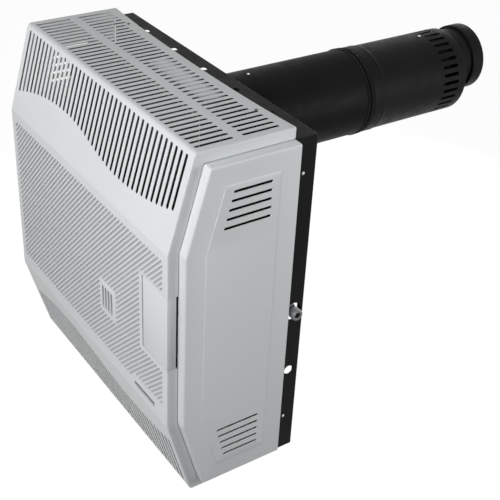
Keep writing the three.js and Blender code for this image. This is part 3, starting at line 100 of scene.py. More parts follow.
def feed(tree: Tree, node: bpy.types.Node, inputs: dict[str | int, object]) -> None:
    """Set or link a node's inputs.

    Args:
        tree: The nodes of the material or of the world.
        node: The node.
        inputs: For an input's name or number its value, or the socket that feeds it.
    """
    for key, value in inputs.items():
        if isinstance(value, Socket):
            tree.links.new(value, node.inputs[key])
        else:
            node.inputs[key].default_value = value


def add_node(tree: Tree, kind: str, inputs: dict[str | int, object] | None = None) -> bpy.types.Node:
    """Add a node with its inputs.

    Args:
        tree: The nodes of the material or of the world.
        kind: The node's type.
        inputs: As for `feed`.

    Returns:
        The node.
    """
    node = tree.nodes.new(kind)
    feed(tree, node, inputs or {})
    return node


def add_math(tree: Tree, operation: str, first: Socket, second: Socket | float) -> Socket:
    """Add a sum, product or maximum of two numbers.

    Args:
        tree: The nodes of the material or of the world.
        operation: The kind of sum.
        first: The first number.
        second: The second number.

    Returns:
        The result's socket.
    """
    node = add_node(tree, "ShaderNodeMath", {0: first, 1: second})
    node.operation = operation
    return node.outputs[0]


@dataclass(frozen=True)
class Finish:
    """A solid finish with its own mottling, sheen changes and surface grain.

    Colour: base * (1 + mottle * (noise - 1/2)). Roughness: roughness + spread * (noise - 1/2).
    Height: grain * noise at grain_scale, which the bump node turns into a normal.
    """

    slot: str
    colour: tuple[float, float, float]
    roughness: float
    metallic: float = 0.0
    mottle: float = 0.06
    mottle_scale: float = 9.0
    spread: float = 0.08
    grain: float = 0.00002
    grain_scale: float = 1400.0
    coat: float = 0.0
    transmission: float = 0.0
    specular: float = 0.5
    stretch: Point = (1.0, 1.0, 1.0)
    stands_for: str = ""

    def material(self) -> bpy.types.Material:
        """Make the finish once and return it each time it is asked for.

        Returns:
            The material, named after the record's slot.
        """
        found = bpy.data.materials.get(self.slot + "_finish")
        if found is not None:
            return found
        material = bpy.data.materials.new(self.slot + "_finish")
        material.use_nodes = True
        tree = material.node_tree
        place = add_node(tree, "ShaderNodeTexCoord")
        stretch = add_node(tree, "ShaderNodeMapping", {"Vector": place.outputs["Object"], "Scale": self.stretch})
        at = stretch.outputs[0]
        feed(tree, tree.nodes["Principled BSDF"], {
            "Base Color": self._colour(tree, at),
            "Roughness": self._roughness(tree, at),
            "Normal": self._bump(tree, at),
            "Metallic": self.metallic,
            "Specular IOR Level": self.specular,
            "Coat Weight": self.coat,
            "Coat Roughness": 0.25,
            "Transmission Weight": self.transmission,
        })
        return material

    def _noise(self, tree: Tree, at: Socket, scale: float, detail: float) -> Socket:
        """Add a noise texture.

        Args:
            tree: The material's nodes.
            at: The coordinates.
            scale: Noise cells in a metre.
            detail: Octaves of the noise.

        Returns:
            The noise, from 0 to 1.
        """
        noise = add_node(tree, "ShaderNodeTexNoise", {"Vector": at, "Scale": scale, "Detail": detail})
        return noise.outputs["Fac"]

    def _ramp(self, tree: Tree, share: Socket, mottle: float, ends: Flat) -> Socket:
        """Run the base colour from a darker to a lighter tone.

        Args:
            tree: The material's nodes.
            share: The number that mixes the tones.
            mottle: How much darker and lighter they are.
            ends: The numbers that give the darker and the lighter tone.

        Returns:
            The colour.
        """
        ramp = add_node(tree, "ShaderNodeValToRGB", {"Fac": share})
        for element, sign, end in zip(ramp.color_ramp.elements, (-1, 1), ends):
            element.position = end
            element.color = (*[min(max(part * (1 + sign * mottle), 0), 1) for part in self.colour], 1)
        return ramp.outputs["Color"]

    def _colour(self, tree: Tree, at: Socket) -> Socket:
        """Return the base colour, mottled by soft noise."""
        return self._ramp(tree, self._noise(tree, at, self.mottle_scale, 5.0), self.mottle / 2, (0.3, 0.7))

    def _roughness(self, tree: Tree, at: Socket) -> Socket:
        """Vary the roughness in soft patches.

        Args:
            tree: The material's nodes.
            at: The coordinates.

        Returns:
            The roughness.
        """
        return add_node(tree, "ShaderNodeMapRange", {
            "Value": self._noise(tree, at, self.mottle_scale * 4.3, 3.0),
            "From Min": 0.3,
            "From Max": 0.7,
            "To Min": max(self.roughness - self.spread / 2, 0.02),
            "To Max": min(self.roughness + self.spread / 2, 1.0),
        }).outputs["Result"]

    def _bump(self, tree: Tree, at: Socket) -> Socket:
        """Turn fine noise into surface grain.

        Args:
            tree: The material's nodes.
            at: The coordinates.

        Returns:
            The normal.
        """
        return add_node(tree, "ShaderNodeBump", {
            "Height": self._noise(tree, at, self.grain_scale, 2.0), "Distance": self.grain, "Strength": 1.0,
        }).outputs["Normal"]


@dataclass(frozen=True)
class Spangled(Finish):
    """Zinc-coated sheet: the brightness of each crystal is a random number of its Voronoi cell."""

    crystal_scale: float = 160.0

    def _colour(self, tree: Tree, at: Socket) -> Socket:
        """Give each crystal its own tone: base * (1 + mottle (crystal + noise - 1)).

        Args:
            tree: The material's nodes.
            at: The coordinates.

        Returns:
            The colour.
        """
        cells = add_node(tree, "ShaderNodeTexVoronoi", {"Vector": at, "Scale": self.crystal_scale})
        crystal = add_node(tree, "ShaderNodeSeparateColor", {"Color": cells.outputs["Color"]}).outputs[0]
        both = add_math(tree, "ADD", crystal, self._noise(tree, at, self.mottle_scale, 5.0))
        return self._ramp(tree, add_math(tree, "MULTIPLY", both, 0.5), self.mottle, (0.0, 1.0))


PALE_COAT = Finish(
    "pale_coat", (0.74, 0.765, 0.775), 0.42, mottle=0.035, mottle_scale=5.0, grain=0.00003, grain_scale=900.0
)
BLACK_COAT = Finish(
    "black_coat", (0.0070, 0.0073, 0.0080), 0.46, specular=0.06, mottle=0.35, mottle_scale=14.0, spread=0.14,
    grain=0.00005, grain_scale=1200.0,
)
GALVANISED = Spangled("galvanised", (0.46, 0.475, 0.49), 0.42, metallic=0.85, mottle=0.16, mottle_scale=12.0)
CHAMBER_ENAMEL = Finish(
    "chamber_enamel", (0.030, 0.031, 0.034), 0.62, mottle=0.4, mottle_scale=10.0, spread=0.15, grain=0.00006,
    grain_scale=800.0,
)
STAINLESS = Finish("stainless", (0.55, 0.55, 0.54), 0.3, metallic=1.0, mottle=0.1, stretch=(1.0, 8.0, 8.0))
CAST_ALUMINIUM = Finish(
    "cast_aluminium", (0.50, 0.51, 0.52), 0.5, metallic=0.85, mottle=0.12, mottle_scale=30.0, grain=0.00008,
    grain_scale=900.0,
)
BRASS = Finish("brass", (0.60, 0.42, 0.17), 0.32, metallic=1.0, mottle=0.2, mottle_scale=60.0)
COPPER = Finish("copper", (0.55, 0.28, 0.17), 0.34, metallic=1.0, mottle=0.3, mottle_scale=25.0)
DARK_PLASTIC = Finish(
    "dark_plastic", (0.018, 0.018, 0.020), 0.5, mottle=0.2, mottle_scale=60.0, grain=0.00005, grain_scale=2500.0
)
RED_PLASTIC = Finish("red_plastic", (0.45, 0.02, 0.012), 0.3, mottle=0.1, mottle_scale=80.0, coat=0.2)
CERAMIC = Finish("ceramic", (0.78, 0.75, 0.68), 0.25, mottle=0.08, mottle_scale=90.0, coat=0.5)
SIGHT_GLASS = Finish("sight_glass", (0.80, 0.84, 0.83), 0.06, mottle=0.02, spread=0.03, transmission=0.9)
FIBRE = Finish("fibre", (0.62, 0.58, 0.50), 0.95, mottle=0.25, mottle_scale=120.0, grain=0.0002, grain_scale=600.0)
SILICONE = Finish("silicone", (0.25, 0.055, 0.035), 0.6, mottle=0.15, mottle_scale=60.0)
WHITE_MARK = Finish("pointer_mark", (0.75, 0.75, 0.73), 0.5, mottle=0.05, stands_for="dark_plastic")
# Painted shade: a darker copy of the pale paint on the grooves' walls and floors, standing in for the shade in these
# recesses.
GROOVE_PAINTED_SHADE = Finish(
    "groove_painted_shade", (0.475, 0.495, 0.505), 0.5, mottle=0.035, mottle_scale=5.0, stands_for="pale_coat"
)
DARK_SCREW = Finish(
    "darkened_screw", (0.10, 0.10, 0.105), 0.4, specular=0.4, mottle=0.3, stands_for="stainless"
)
DULL_ZINC = Finish(
    "dull_zinc", (0.16, 0.165, 0.17), 0.5, metallic=0.85, mottle=0.3, mottle_scale=60.0, stands_for="galvanised"
)
FINISHES = {
    finish.slot: finish
    for finish in (
        PALE_COAT, BLACK_COAT, GALVANISED, CHAMBER_ENAMEL, STAINLESS, CAST_ALUMINIUM, BRASS, COPPER,
        DARK_PLASTIC, RED_PLASTIC, CERAMIC, SIGHT_GLASS, FIBRE, SILICONE,
    )
}


# ---------------------------------------------------------------- surfaces


def quads(rows: int, columns: int, closed: bool = False) -> Array:
    """Number a grid's faces: face (i, j) joins points (i, j), (i+1, j), (i+1, j+1), (i, j+1).

    Args:
        rows: The grid's rows.
        columns: The grid's columns.
        closed: Whether the last column joins the first.

    Returns:
        The point numbers, (faces, 4).
    """
    number = np.arange(rows * columns).reshape(rows, columns)
    ahead = np.roll(number, -1, axis=1) if closed else number[:, 1:]
    here = number if closed else number[:, :-1]
    return np.stack([here[:-1], here[1:], ahead[1:], ahead[:-1]], axis=-1).reshape(-1, 4)


def cell_middles(grid: Array, closed: bool = False) -> Array:
    """Return the middle of each face of a grid, halfway between two opposite corners, as (faces, 3)."""
    corners = grid.reshape(-1, 3)[quads(*grid.shape[:2], closed)]
    return (corners[:, 0] + corners[:, 2]) / 2


def plane(u_axis: int, v_axis: int, value: float) -> Callable[[Array], Array]:
    """Return the function that lays flat points on an upright or level plane.

    Args:
        u_axis: The axis along which the first coordinate is laid: 0 for X, 1 for Y, 2 for Z.
        v_axis: The axis along which the second coordinate is laid.
        value: The plane's place on the third axis.

    Returns:
        A function from (..., 2) to (..., 3).
    """

    def lay(flat: Array) -> Array:
        """Place (u, v) on the plane."""
        points = np.full((*flat.shape[:-1], 3), float(value))
        points[..., u_axis], points[..., v_axis] = flat[..., 0], flat[..., 1]
        return points

    return lay


@dataclass
class Skin:
    """Points and faces gathered patch by patch for one mesh."""

    points: list[Array] = field(default_factory=list)
    faces: list[Array] = field(default_factory=list)
    count: int = 0

    def add(self, points: Array, faces: Array, outward: Array | None = None) -> None:
        """Add a patch, each face turned so that its normal has a positive dot product with `outward`.

        Args:
            points: The patch's points, (n, 3).
            faces: Point numbers of triangles (m, 3) or quads (m, 4).
            outward: One direction (3,), or one for each face (m, 3), or None where the order is right.
        """
        if outward is not None:
            normal = np.cross(
                points[faces[:, 2]] - points[faces[:, 0]], points[faces[:, -1]] - points[faces[:, 1]]
            )
            wrong = (normal * outward).sum(1) < 0
            faces = np.where(wrong[:, None], faces[:, ::-1], faces)
        self.points.append(points)
        self.faces.append(faces + self.count)
        self.count += len(points)

    def grid(
        self, points: Array, outward: Array | None = None, closed: bool = False, keep: Array | None = None
    ) -> None:
        """Add a grid of four-sided faces, as `quads` numbers them.

        Args:
            points: The grid's points, (rows, columns, 3).
            outward: As for `add`.
            closed: Whether the last column joins the first.
            keep: True for each face that is kept, or None for all.
        """
        faces = quads(*points.shape[:2], closed)
        if keep is not None:
            faces = faces[keep]
            outward = outward[keep] if outward.ndim > 1 else outward
        self.add(points.reshape(-1, 3), faces, outward)

    def rings(self, inner: Array, outer: Array, outward: Array | None) -> None:
        """Add the band between matched closed loops: face k joins inner k, outer k, outer k+1, inner k+1.

        Args:
            inner: Inner loops, (loops, points, 3).
            outer: Outer loops of the same shape.
            outward: The faces' outward direction, or None where the loops' order is right.
        """
        loops, size = inner.shape[:2]
        number = np.arange(loops * size).reshape(loops, size)
        ahead = np.roll(number, -1, axis=1)
        shift = loops * size
        faces = np.stack([number, number + shift, ahead + shift, ahead], axis=-1).reshape(-1, 4)
        points = np.concatenate([inner.reshape(-1, 3), outer.reshape(-1, 3)])
        self.add(points, faces, outward)

    def piece(self, name: str, thickness: float = 0.0) -> bpy.types.Object:
        """Weld the patches into one mesh object.

        Args:
            name: The piece's name.
            thickness: The sheet's thickness, grown inwards, or 0 for a closed surface.

        Returns:
            The object, at the origin.
        """
        mesh = bpy.data.meshes.new(name)
        faces = [list(face) for part in self.faces for face in part.tolist()]
        mesh.from_pydata(np.concatenate(self.points), [], faces)
        weld(mesh)
        piece = linked(name, mesh)
        if thickness > 0:
            wall = piece.modifiers.new("sheet", "SOLIDIFY")
            wall.thickness = thickness
            wall.offset = -1
            wall.use_even_offset = True
            wall.use_rim = True
            settle(piece)
        shade(piece)
        return piece


def linked(name: str, data: bpy.types.ID) -> bpy.types.Object:
    """Make an object of its data and link it to the scene.

    Args:
        name: The object's name.
        data: Its mesh, lamp or camera.

    Returns:
        The object.
    """
    made = bpy.data.objects.new(name, data)
    bpy.context.scene.collection.objects.link(made)
    return made


@contextmanager
def edited(mesh: bpy.types.Mesh) -> Iterator[bmesh.types.BMesh]:
    """Open a mesh for editing and write it back at the end.

    Args:
        mesh: The mesh.

    Yields:
        The mesh under edit.
    """
    work = bmesh.new()
    work.from_mesh(mesh)
    yield work
    work.to_mesh(mesh)
    work.free()


def weld(mesh: bpy.types.Mesh, reach: float = 2e-6) -> None:
    """Merge points closer than `reach` and drop the faces that vanish.

    Args:
        mesh: The mesh to clean.
        reach: The merging distance.
    """
    with edited(mesh) as work:
        bmesh.ops.remove_doubles(work, verts=work.verts, dist=reach)
        bmesh.ops.dissolve_degenerate(work, edges=work.edges, dist=reach)


def recalculated(piece: bpy.types.Object) -> bpy.types.Object:
    """Point the faces of a closed piece outwards.

    Args:
        piece: The closed piece.

    Returns:
        The same piece.
    """
    with edited(piece.data) as work:
        bmesh.ops.recalc_face_normals(work, faces=work.faces)
    return piece


def closed_piece(name: str, grid: Array) -> bpy.types.Object:
    """Make a closed piece of one grid whose rows run round.

    Args:
        name: The piece's name.
        grid: The grid's points.

    Returns:
        The piece.
    """
    skin = Skin()
    skin.grid(grid, closed=True)
    return recalculated(skin.piece(name))


def settle(piece: bpy.types.Object) -> None:
    """Apply the piece's modifiers to its mesh.

    Args:
        piece: The object whose modifiers are applied.
    """
    graph = bpy.context.evaluated_depsgraph_get()
    finished = bpy.data.meshes.new_from_object(piece.evaluated_get(graph))
    piece.modifiers.clear()
    piece.data = finished


def shade(piece: bpy.types.Object, angle: float = SHARP_ANGLE) -> None:
    """Shade smoothly over shallow edges and sharply over the others.

    Args:
        piece: The object to shade.
        angle: Edges steeper than this stay sharp.
    """
    piece.data.shade_smooth()
    piece.data.set_sharp_from_angle(angle=angle)


def finish_piece(piece: bpy.types.Object, body: Body, finish: Finish, *nodes: str) -> bpy.types.Object:
    """Dress a piece, let it ride on its body and stand for its nodes.

    Args:
        piece: The new object.
        body: The body it moves with.
        finish: Its finish.
        nodes: The solids that it stands for.

    Returns:
        The same object.
    """
    piece.data.materials.clear()
    piece.data.materials.append(finish.material())
    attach(piece, body.value)
    if nodes:
        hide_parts(*nodes)
    log.info("%s: %d faces", piece.name, len(piece.data.polygons))
    return piece


def box_of(node: str) -> tuple[Array, Array]:
    """Return a solid's lowest and highest corners as arrays."""
    low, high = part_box(node)
    return np.array(low), np.array(high)


def turned(profile: Sequence[Flat], segments: int = 96) -> Array:
    """Turn a profile about the Y axis.

    Point (i, j) is (r_i cos a_j, y_i, r_i sin a_j), with a_j = 2 pi j / segments.

    Args:
        profile: Pairs of radius and Y.
        segments: Points round the axis.

    Returns:
        The grid, (profile points, segments, 3).
    """
    r, y = np.array(profile, float).T
    angle = np.linspace(0, 2 * np.pi, segments, endpoint=False)
    along = np.broadcast_to(y[:, None], (len(r), segments))
    return np.stack([np.outer(r, np.cos(angle)), along, np.outer(r, np.sin(angle))], axis=-1)


def fillet(corner: Flat, start: Flat, end: Flat, radius: float, steps: int = 5) -> list[Flat]:
    """Round a corner by an arc tangent to both of its sides.

    With b and a the unit vectors from the corner to start and to end and h half the angle between them, the centre
    is corner + (b + a)/|b + a| * radius / sin h, and the tangent points are corner + b * radius / tan h and
    corner + a * radius / tan h.

    Args:
        corner: The sharp corner.
        start: A point before it.
        end: A point after it.
        radius: The arc's radius.
        steps: The arc's segments.

    Returns:
        The arc's points in order.
    """
    c = np.array(corner, float)
    b, a = (np.array(p, float) - c for p in (start, end))
    b, a = b / np.linalg.norm(b), a / np.linalg.norm(a)
    half = math.acos(float(np.clip(b @ a, -1, 1))) / 2
    centre = c + (b + a) / np.linalg.norm(b + a) * radius / math.sin(half)
    first = c + b * radius / math.tan(half) - centre
    last = c + a * radius / math.tan(half) - centre
    sweep = math.atan2(first[0] * last[1] - first[1] * last[0], first @ last)
    angle = np.linspace(0, sweep, steps + 1)
    x = centre[0] + first[0] * np.cos(angle) - first[1] * np.sin(angle)
    y = centre[1] + first[0] * np.sin(angle) + first[1] * np.cos(angle)
    return list(zip(x.tolist(), y.tolist()))


def stadium(low: Array | float, high: Array | float, across: Array, width: float, steps: int = 8) -> Array:
    """Outline round-ended slots that run from `low` to `high` along the second coordinate.

    The upper end is (c + r cos t, high - r + r sin t) and the lower one (c - r cos t, low + r - r sin t), for t from
    0 to pi, with r = width / 2 and c the slot's middle.

    Args:
        low: Lower ends, (n,), or one for all.
        high: Upper ends, (n,), or one for all.
        across: Middles, (n,).
        width: The slots' width.
        steps: Segments of each round end.

    Returns:
        The loops, (n, 2 * steps + 2, 2).
    """
    r = width / 2
    t = np.linspace(0, np.pi, steps + 1)
    c, low, high = (np.broadcast_to(v, across.shape)[:, None] for v in (across, low, high))
    upper = np.stack(np.broadcast_arrays(c + r * np.cos(t), high - r + r * np.sin(t)), axis=-1)
    lower = np.stack(np.broadcast_arrays(c - r * np.cos(t), low + r - r * np.sin(t)), axis=-1)
    return np.concatenate([upper, lower], axis=1)


def cell_frames(corners: Array, steps: int = 8) -> Array:
    """Outline the four-sided cells that surround the slots, with as many points as a slot's outline.

    The upper side runs from the upper right corner to the upper left one, and the lower side from the lower left
    corner to the lower right one, each as a straight blend.

    Args:
        corners: Lower left, lower right, upper right and upper left corners, (n, 4, 2).
        steps: Segments of the upper and of the lower side.

    Returns:
        The loops, (n, 2 * steps + 2, 2).
    """
    t = np.linspace(0, 1, steps + 1)[None, :, None]
    lower_left, lower_right, upper_right, upper_left = (corners[:, i, None, :] for i in range(4))
    upper = upper_right * (1 - t) + upper_left * t
    lower = lower_left * (1 - t) + lower_right * t
    return np.concatenate([upper, lower], axis=1)


def upright_cells(middles: Array, half: float, low: Callable[[Array], Array] | float, high: float) -> Array:
    """Outline upright cells of equal width.

    Args:
        middles: The cells' middles.
        half: Half a cell's width.
        low: The cells' lower end, or the function that gives it at a place.
        high: The cells' upper end.

    Returns:
        Lower left, lower right, upper right and upper left corners, (n, 4, 2).
    """
    left, right = middles - half, middles + half
    low_left, low_right = (low(side) if callable(low) else np.full_like(side, low) for side in (left, right))
    highs = np.full_like(middles, high)
    corners = ((left, low_left), (right, low_right), (right, highs), (left, highs))
    return np.stack([np.stack(corner, -1) for corner in corners], axis=1)


@dataclass
class BentPath:
    """An open path of flat runs joined by bends, seen along X, that can be moved inwards.

    Moved in by d, a bend of radius r keeps its centre and has the radius max(r - d, 0); past its centre it is the
    meeting point of the two moved runs. Every path at any depth has the same number of points.
    """

    corners: Array
    radii: Array
    bend_steps: int = 10

    def runs(self, depth: float = 0.0) -> list[tuple[Array, Array]]:
        """Return the ends of each flat run at a depth.

        Args:
            depth: How far inside the outer face.

        Returns:
            For each run its start and end.
        """
        arcs = self.bends(depth)
        starts = [self._end(0, depth), *[arc[-1] for arc in arcs]]
        ends = [*[arc[0] for arc in arcs], self._end(-1, depth)]
        return list(zip(starts, ends))

    def points(self, depth: float, shares: dict[int, Array]) -> Array:
        """Return the whole path at a depth.

        Args:
            depth: How far inside the outer face.
            shares: For a run's number, the shares of its length where it has more points.

        Returns:
            The points as (n, 2) pairs of Y and Z.
        """
        arcs = self.bends(depth)
        rows = []
        for i, (start, end) in enumerate(self.runs(depth)):
            rows.append(start[None])
            if i in shares:
                t = shares[i][:, None]
                rows.append(start * (1 - t) + end * t)
            if i < len(arcs):
                rows.append(arcs[i][:-1])
        rows.append(self._end(-1, depth)[None])
        return np.concatenate(rows)

    def normals(self) -> Array:
        """Return each run's outward unit normal.

        Returns:
            The normals, (runs, 2).
        """
        along = np.diff(self.corners, axis=0)
        along /= np.linalg.norm(along, axis=1)[:, None]
        return np.stack([along[:, 1], -along[:, 0]], axis=1) * self._turn()

    def _turn(self) -> float:
        """Return 1 or -1, so that the normals point away from the path's middle.

        Returns:
            The sign.
        """
        along = self.corners[2] - self.corners[1]
        inward = self.corners.mean(0) - self.corners[1]
        return -1.0 if along[1] * inward[0] - along[0] * inward[1] > 0 else 1.0

    def _end(self, which: int, depth: float) -> Array:
        """Return the path's first or last point at a depth."""
        return self.corners[which] - self.normals()[which] * depth

    def bends(self, depth: float = 0.0) -> list[Array]:
        """Find the points of each bend.

        Args:
            depth: How far inside the outer face.

        Returns:
            For each bend its points, (n, 2).
        """
        normals = self.normals()
        arcs = []
        for i, radius in enumerate(self.radii):
            before, after = normals[i], normals[i + 1]
            mitre = (before + after) / (1 + before @ after)
            centre = self.corners[i + 1] - mitre * max(radius, depth)
            half = math.atan2(before[0] * after[1] - before[1] * after[0], before @ after)
            angle = np.linspace(0, half, self.bend_steps + 1)[:, None]
            spoke = before * np.cos(angle) + np.array([-before[1], before[0]]) * np.sin(angle)
            arcs.append(centre + spoke * max(radius - depth, 0.0))
        return arcs


# ---------------------------------------------------------------- casing


SlotRow = tuple[float | Callable[[Array], Array], float, Array | float, Array | float]


@dataclass
class Casing:
    """The slotted, grooved sheet casing."""

    half_width: float = 263.5 * MM
    bottom: float = -17 * MM
    height: float = 605 * MM
    back: float = -37 * MM
    top_depth: float = 161 * MM
    front_depth: float = 202 * MM
    bottom_depth: float = 159 * MM
    upper_bend: float = 460 * MM
    lower_bend: float = 152 * MM
    sheet: float = 0.8 * MM
    flange: float = 17.5 * MM
    edge_radius: float = 8 * MM
    front_radius: float = 16 * MM
    side_radius: float = 1.6 * MM
    bottom_rear_gap: float = 3 * MM
    bottom_upturn: float = 17 * MM
    rear_bow: float = 10 * MM
    rear_bow_power: float = 2.4
    bottom_corner: float = 4 * MM
    slot_pitch: float = 13 * MM
    slot_count: int = 39
    slot_width: float = 6 * MM
    slot_margin: float = 7.5 * MM
    wave_crest_x: float = -88 * MM
    wave_trough_x: float = 105 * MM
    wave_crest: float = 66.5 * MM
    wave_trough: float = 40 * MM
    wave_left_drop: float = 34 * MM
    wave_right_rise: float = 26 * MM
    wave_shift: float = 104 * MM
    rear_slots: Flat = (24 * MM, 78 * MM)
    corner_slot_start: float = 17 * MM
    corner_slots: int = 5
    front_slots: Flat = (92 * MM, 153 * MM)
    slot_row_seam: float = 85 * MM
    door_opening: Point = (190.1 * MM, 259.4 * MM, 388.6 * MM)
    groove_pitch: float = 9.35 * MM
    groove_width: float = 3.7 * MM
    groove_depth: float = 1.6 * MM
    groove_slope: float = 1.2 * MM
    groove_least: float = 8 * MM
    groove_inside: float = 0.999
    groove_margin: float = 1.5 * MM
    groove_field: Span = (-250 * MM, 250 * MM, 175 * MM, 444 * MM)
    groove_step: Flat = (155 * MM, 12 * MM)
    door_border: Point = (182.1 * MM, 252 * MM, 392 * MM)
    lining_depth: float = 2.6 * MM
    window_centre: Flat = (79 * MM, 273 * MM)
    window_frame: Flat = (50 * MM, 57 * MM)
    window_rise: float = 1 * MM
    window_corner: float = 2 * MM
    window_slots: int = 4
    window_pitch: float = 9.4 * MM
    window_slot: Flat = (6 * MM, 43 * MM)
    thin_slot: Span = (163 * MM, 226 * MM, 165 * MM, 173 * MM)
    lug_radius: float = 4.5 * MM
    lug_squash: float = 0.98
    lug_hole: float = 1.8 * MM
    lug_thickness: float = 4 * MM
    lug_inset: float = 1 * MM

    def path(self) -> BentPath:
        """Return the side outline from the rear of the top, over the front, to the rear of the bottom.

        Returns:
            The path.
        """
        base = self.bottom
        corners = np.array([
            [self.back, base + self.height], [self.back - self.top_depth, base + self.height],
            [self.front, base + self.upper_bend], [self.front, base + self.lower_bend],
            [self.back - self.bottom_depth, base], [self.back, base],
        ])
        radii = np.array([self.edge_radius, self.front_radius, self.front_radius, self.edge_radius])
        return BentPath(corners, radii)

    @property
    def front(self) -> float:
        """Y of the middle front."""
        return self.back - self.front_depth

    @property
    def middle(self) -> Array:
        """The point inside the casing that its surfaces face away from."""
        return np.array([0, self.back - self.front_depth / 2, self.bottom + self.height / 2])

    def build(self) -> None:
        """Build the shell, the grooved front and the sight window."""
        finish_piece(self.shell(), Body.HEATER, PALE_COAT, "casing")
        finish_piece(self.grooved_front(), Body.HEATER, PALE_COAT, "casing")
        # The grooves wear the darker copy of the pale paint: painted shade in the recesses.
        finish_piece(self.grooves(), Body.HEATER, GROOVE_PAINTED_SHADE, "casing")
        finish_piece(self.lining(), Body.HEATER, PALE_COAT, "casing")
        finish_piece(self.window(), Body.HEATER, PALE_COAT, "casing")
        finish_piece(self.hinge_lugs(), Body.HEATER, PALE_COAT, "casing")

    def wave(self, x: Array) -> Array:
        """Find the height of the slots' wavy end line above the upper bend.

        Left of the crest: crest - drop ((crest_x - x) / (half + crest_x))^2. Right of the trough:
        trough + rise ((x - trough_x) / (half - trough_x))^2. Between: half a cosine wave from crest to trough.

        Args:
            x: The places along X.

        Returns:
            The heights.
        """
        crest_x, trough_x, half = self.wave_crest_x, self.wave_trough_x, self.half_width
        left = self.wave_crest - self.wave_left_drop * ((crest_x - x) / (half + crest_x)) ** 2
        right = self.wave_trough + self.wave_right_rise * ((x - trough_x) / (half - trough_x)) ** 2
        phase = np.pi * (x - crest_x) / (trough_x - crest_x)
        middle = self.wave_trough + (self.wave_crest - self.wave_trough) * (1 + np.cos(phase)) / 2
        return np.where(x < crest_x, left, np.where(x > trough_x, right, middle))

    def bow(self, x: Array) -> Array:
        """Distance of the top's rear edge before the back: bow (1 - (|x| / half width)^power)."""
        return self.rear_bow * (1 - (np.abs(x) / self.half_width) ** self.rear_bow_power)

    def columns(self) -> Array:
        """Return the X of each column of slots."""
        return (np.arange(self.slot_count) - (self.slot_count - 1) / 2) * self.slot_pitch

    def field_half(self) -> float:
        """Return half the width of the slotted field."""
        return self.slot_count * self.slot_pitch / 2

    def on_run(self, number: int) -> Callable[[Array], Array]:
        """Return the function that lays flat points of X and distance along a run onto that run.

        Args:
            number: The run's number. The distance is measured from the sharp corner at its start.

        Returns:
            A function from (..., 2) to (..., 3).
        """
        start, end = self.path().corners[number : number + 2]
        along = (end - start) / np.linalg.norm(end - start)

        def lay(flat: Array) -> Array:
            """Place (x, s) at (x, start + s * along)."""
            return np.concatenate([flat[..., :1], start + flat[..., 1:2] * along], axis=-1)

        return lay

    def slotted_run(self, skin: Skin, number: int, rows: list[SlotRow]) -> None:
        """Lay rows of slotted cells on a run.

        Args:
            skin: The mesh under construction.
            number: The run's number.
            rows: For each row of cells its start (a number, or a function of X), its end, and the slots' starts
                and ends along the run.
        """
        lay = self.on_run(number)
        x = self.columns()
        outward = np.array([0, *self.path().normals()[number]])
        for start, end, low, high in rows:
            outer = cell_frames(upright_cells(x, self.slot_pitch / 2, start, end))
            skin.rings(lay(stadium(low, high, x, self.slot_width)), lay(outer), outward)

    def run_ends(self, number: int) -> Flat:
        """Return where a run's flat part starts and ends, measured from the sharp corner at its start.

        Args:
            number: The run's number.

        Returns:
            Both distances.
        """
        path = self.path()
        first, last = (float(np.linalg.norm(end - path.corners[number])) for end in path.runs()[number])
        return first, last

    def run_length(self, number: int) -> float:
        """Return a run's length between its sharp corners."""
        start, end = self.path().corners[number : number + 2]
        return float(np.linalg.norm(end - start))

    def shell(self) -> bpy.types.Object:
        """Build the bent sheet: slotted top and slopes, bends, plain borders and side flanges.

        Returns:
            The piece.
        """
        skin = Skin()
        path = self.path()
        x = self.columns()
        number = np.arange(self.slot_count)
        corner = np.minimum(number, number[::-1]) < self.corner_slots
        rear_starts = np.where(corner, self.corner_slot_start, self.rear_slots[0])
        top_end = self.run_ends(0)[1]
        self.slotted_run(skin, 0, [
            (self.bow, self.slot_row_seam, rear_starts, self.rear_slots[1]),
            (self.slot_row_seam, top_end, *self.front_slots),
        ])
        upper_end = self.run_length(1) - self.wave(x)
        self.slotted_run(skin, 1, [(*self.run_ends(1), self.slot_margin, upper_end)])
        lower_start = self.wave_shift - self.wave(x)
        self.slotted_run(skin, 3, [(*self.run_ends(3), lower_start, self.run_length(3) - self.slot_margin)])
        span = np.linspace(-self.field_half(), self.field_half(), 9)
        for bend in path.bends():
            self.carry(skin, span, bend)
        rear = self.back - self.bottom_rear_gap
        lip = np.array([path.runs()[4][0], [rear, self.bottom], [rear, self.bottom + self.bottom_upturn]])
        self.carry(skin, span, lip)
        for side in Side:
            self.border(skin, side)
        return skin.piece("casing_shell", self.sheet)

    def carry(self, skin: Skin, xs: Array, path: Array) -> None:
        """Carry a path of (Y, Z) points along the given X places.

        Args:
            skin: The mesh under construction.
            xs: The places along X.
            path: The path's points, (n, 2).
        """
        grid = np.empty((len(path), len(xs), 3))
        grid[..., 0] = xs[None, :]
        grid[..., 1:] = path[:, None, :]
        outward = cell_middles(grid) - self.middle
        outward[:, 0] = 0
        skin.grid(grid, outward)

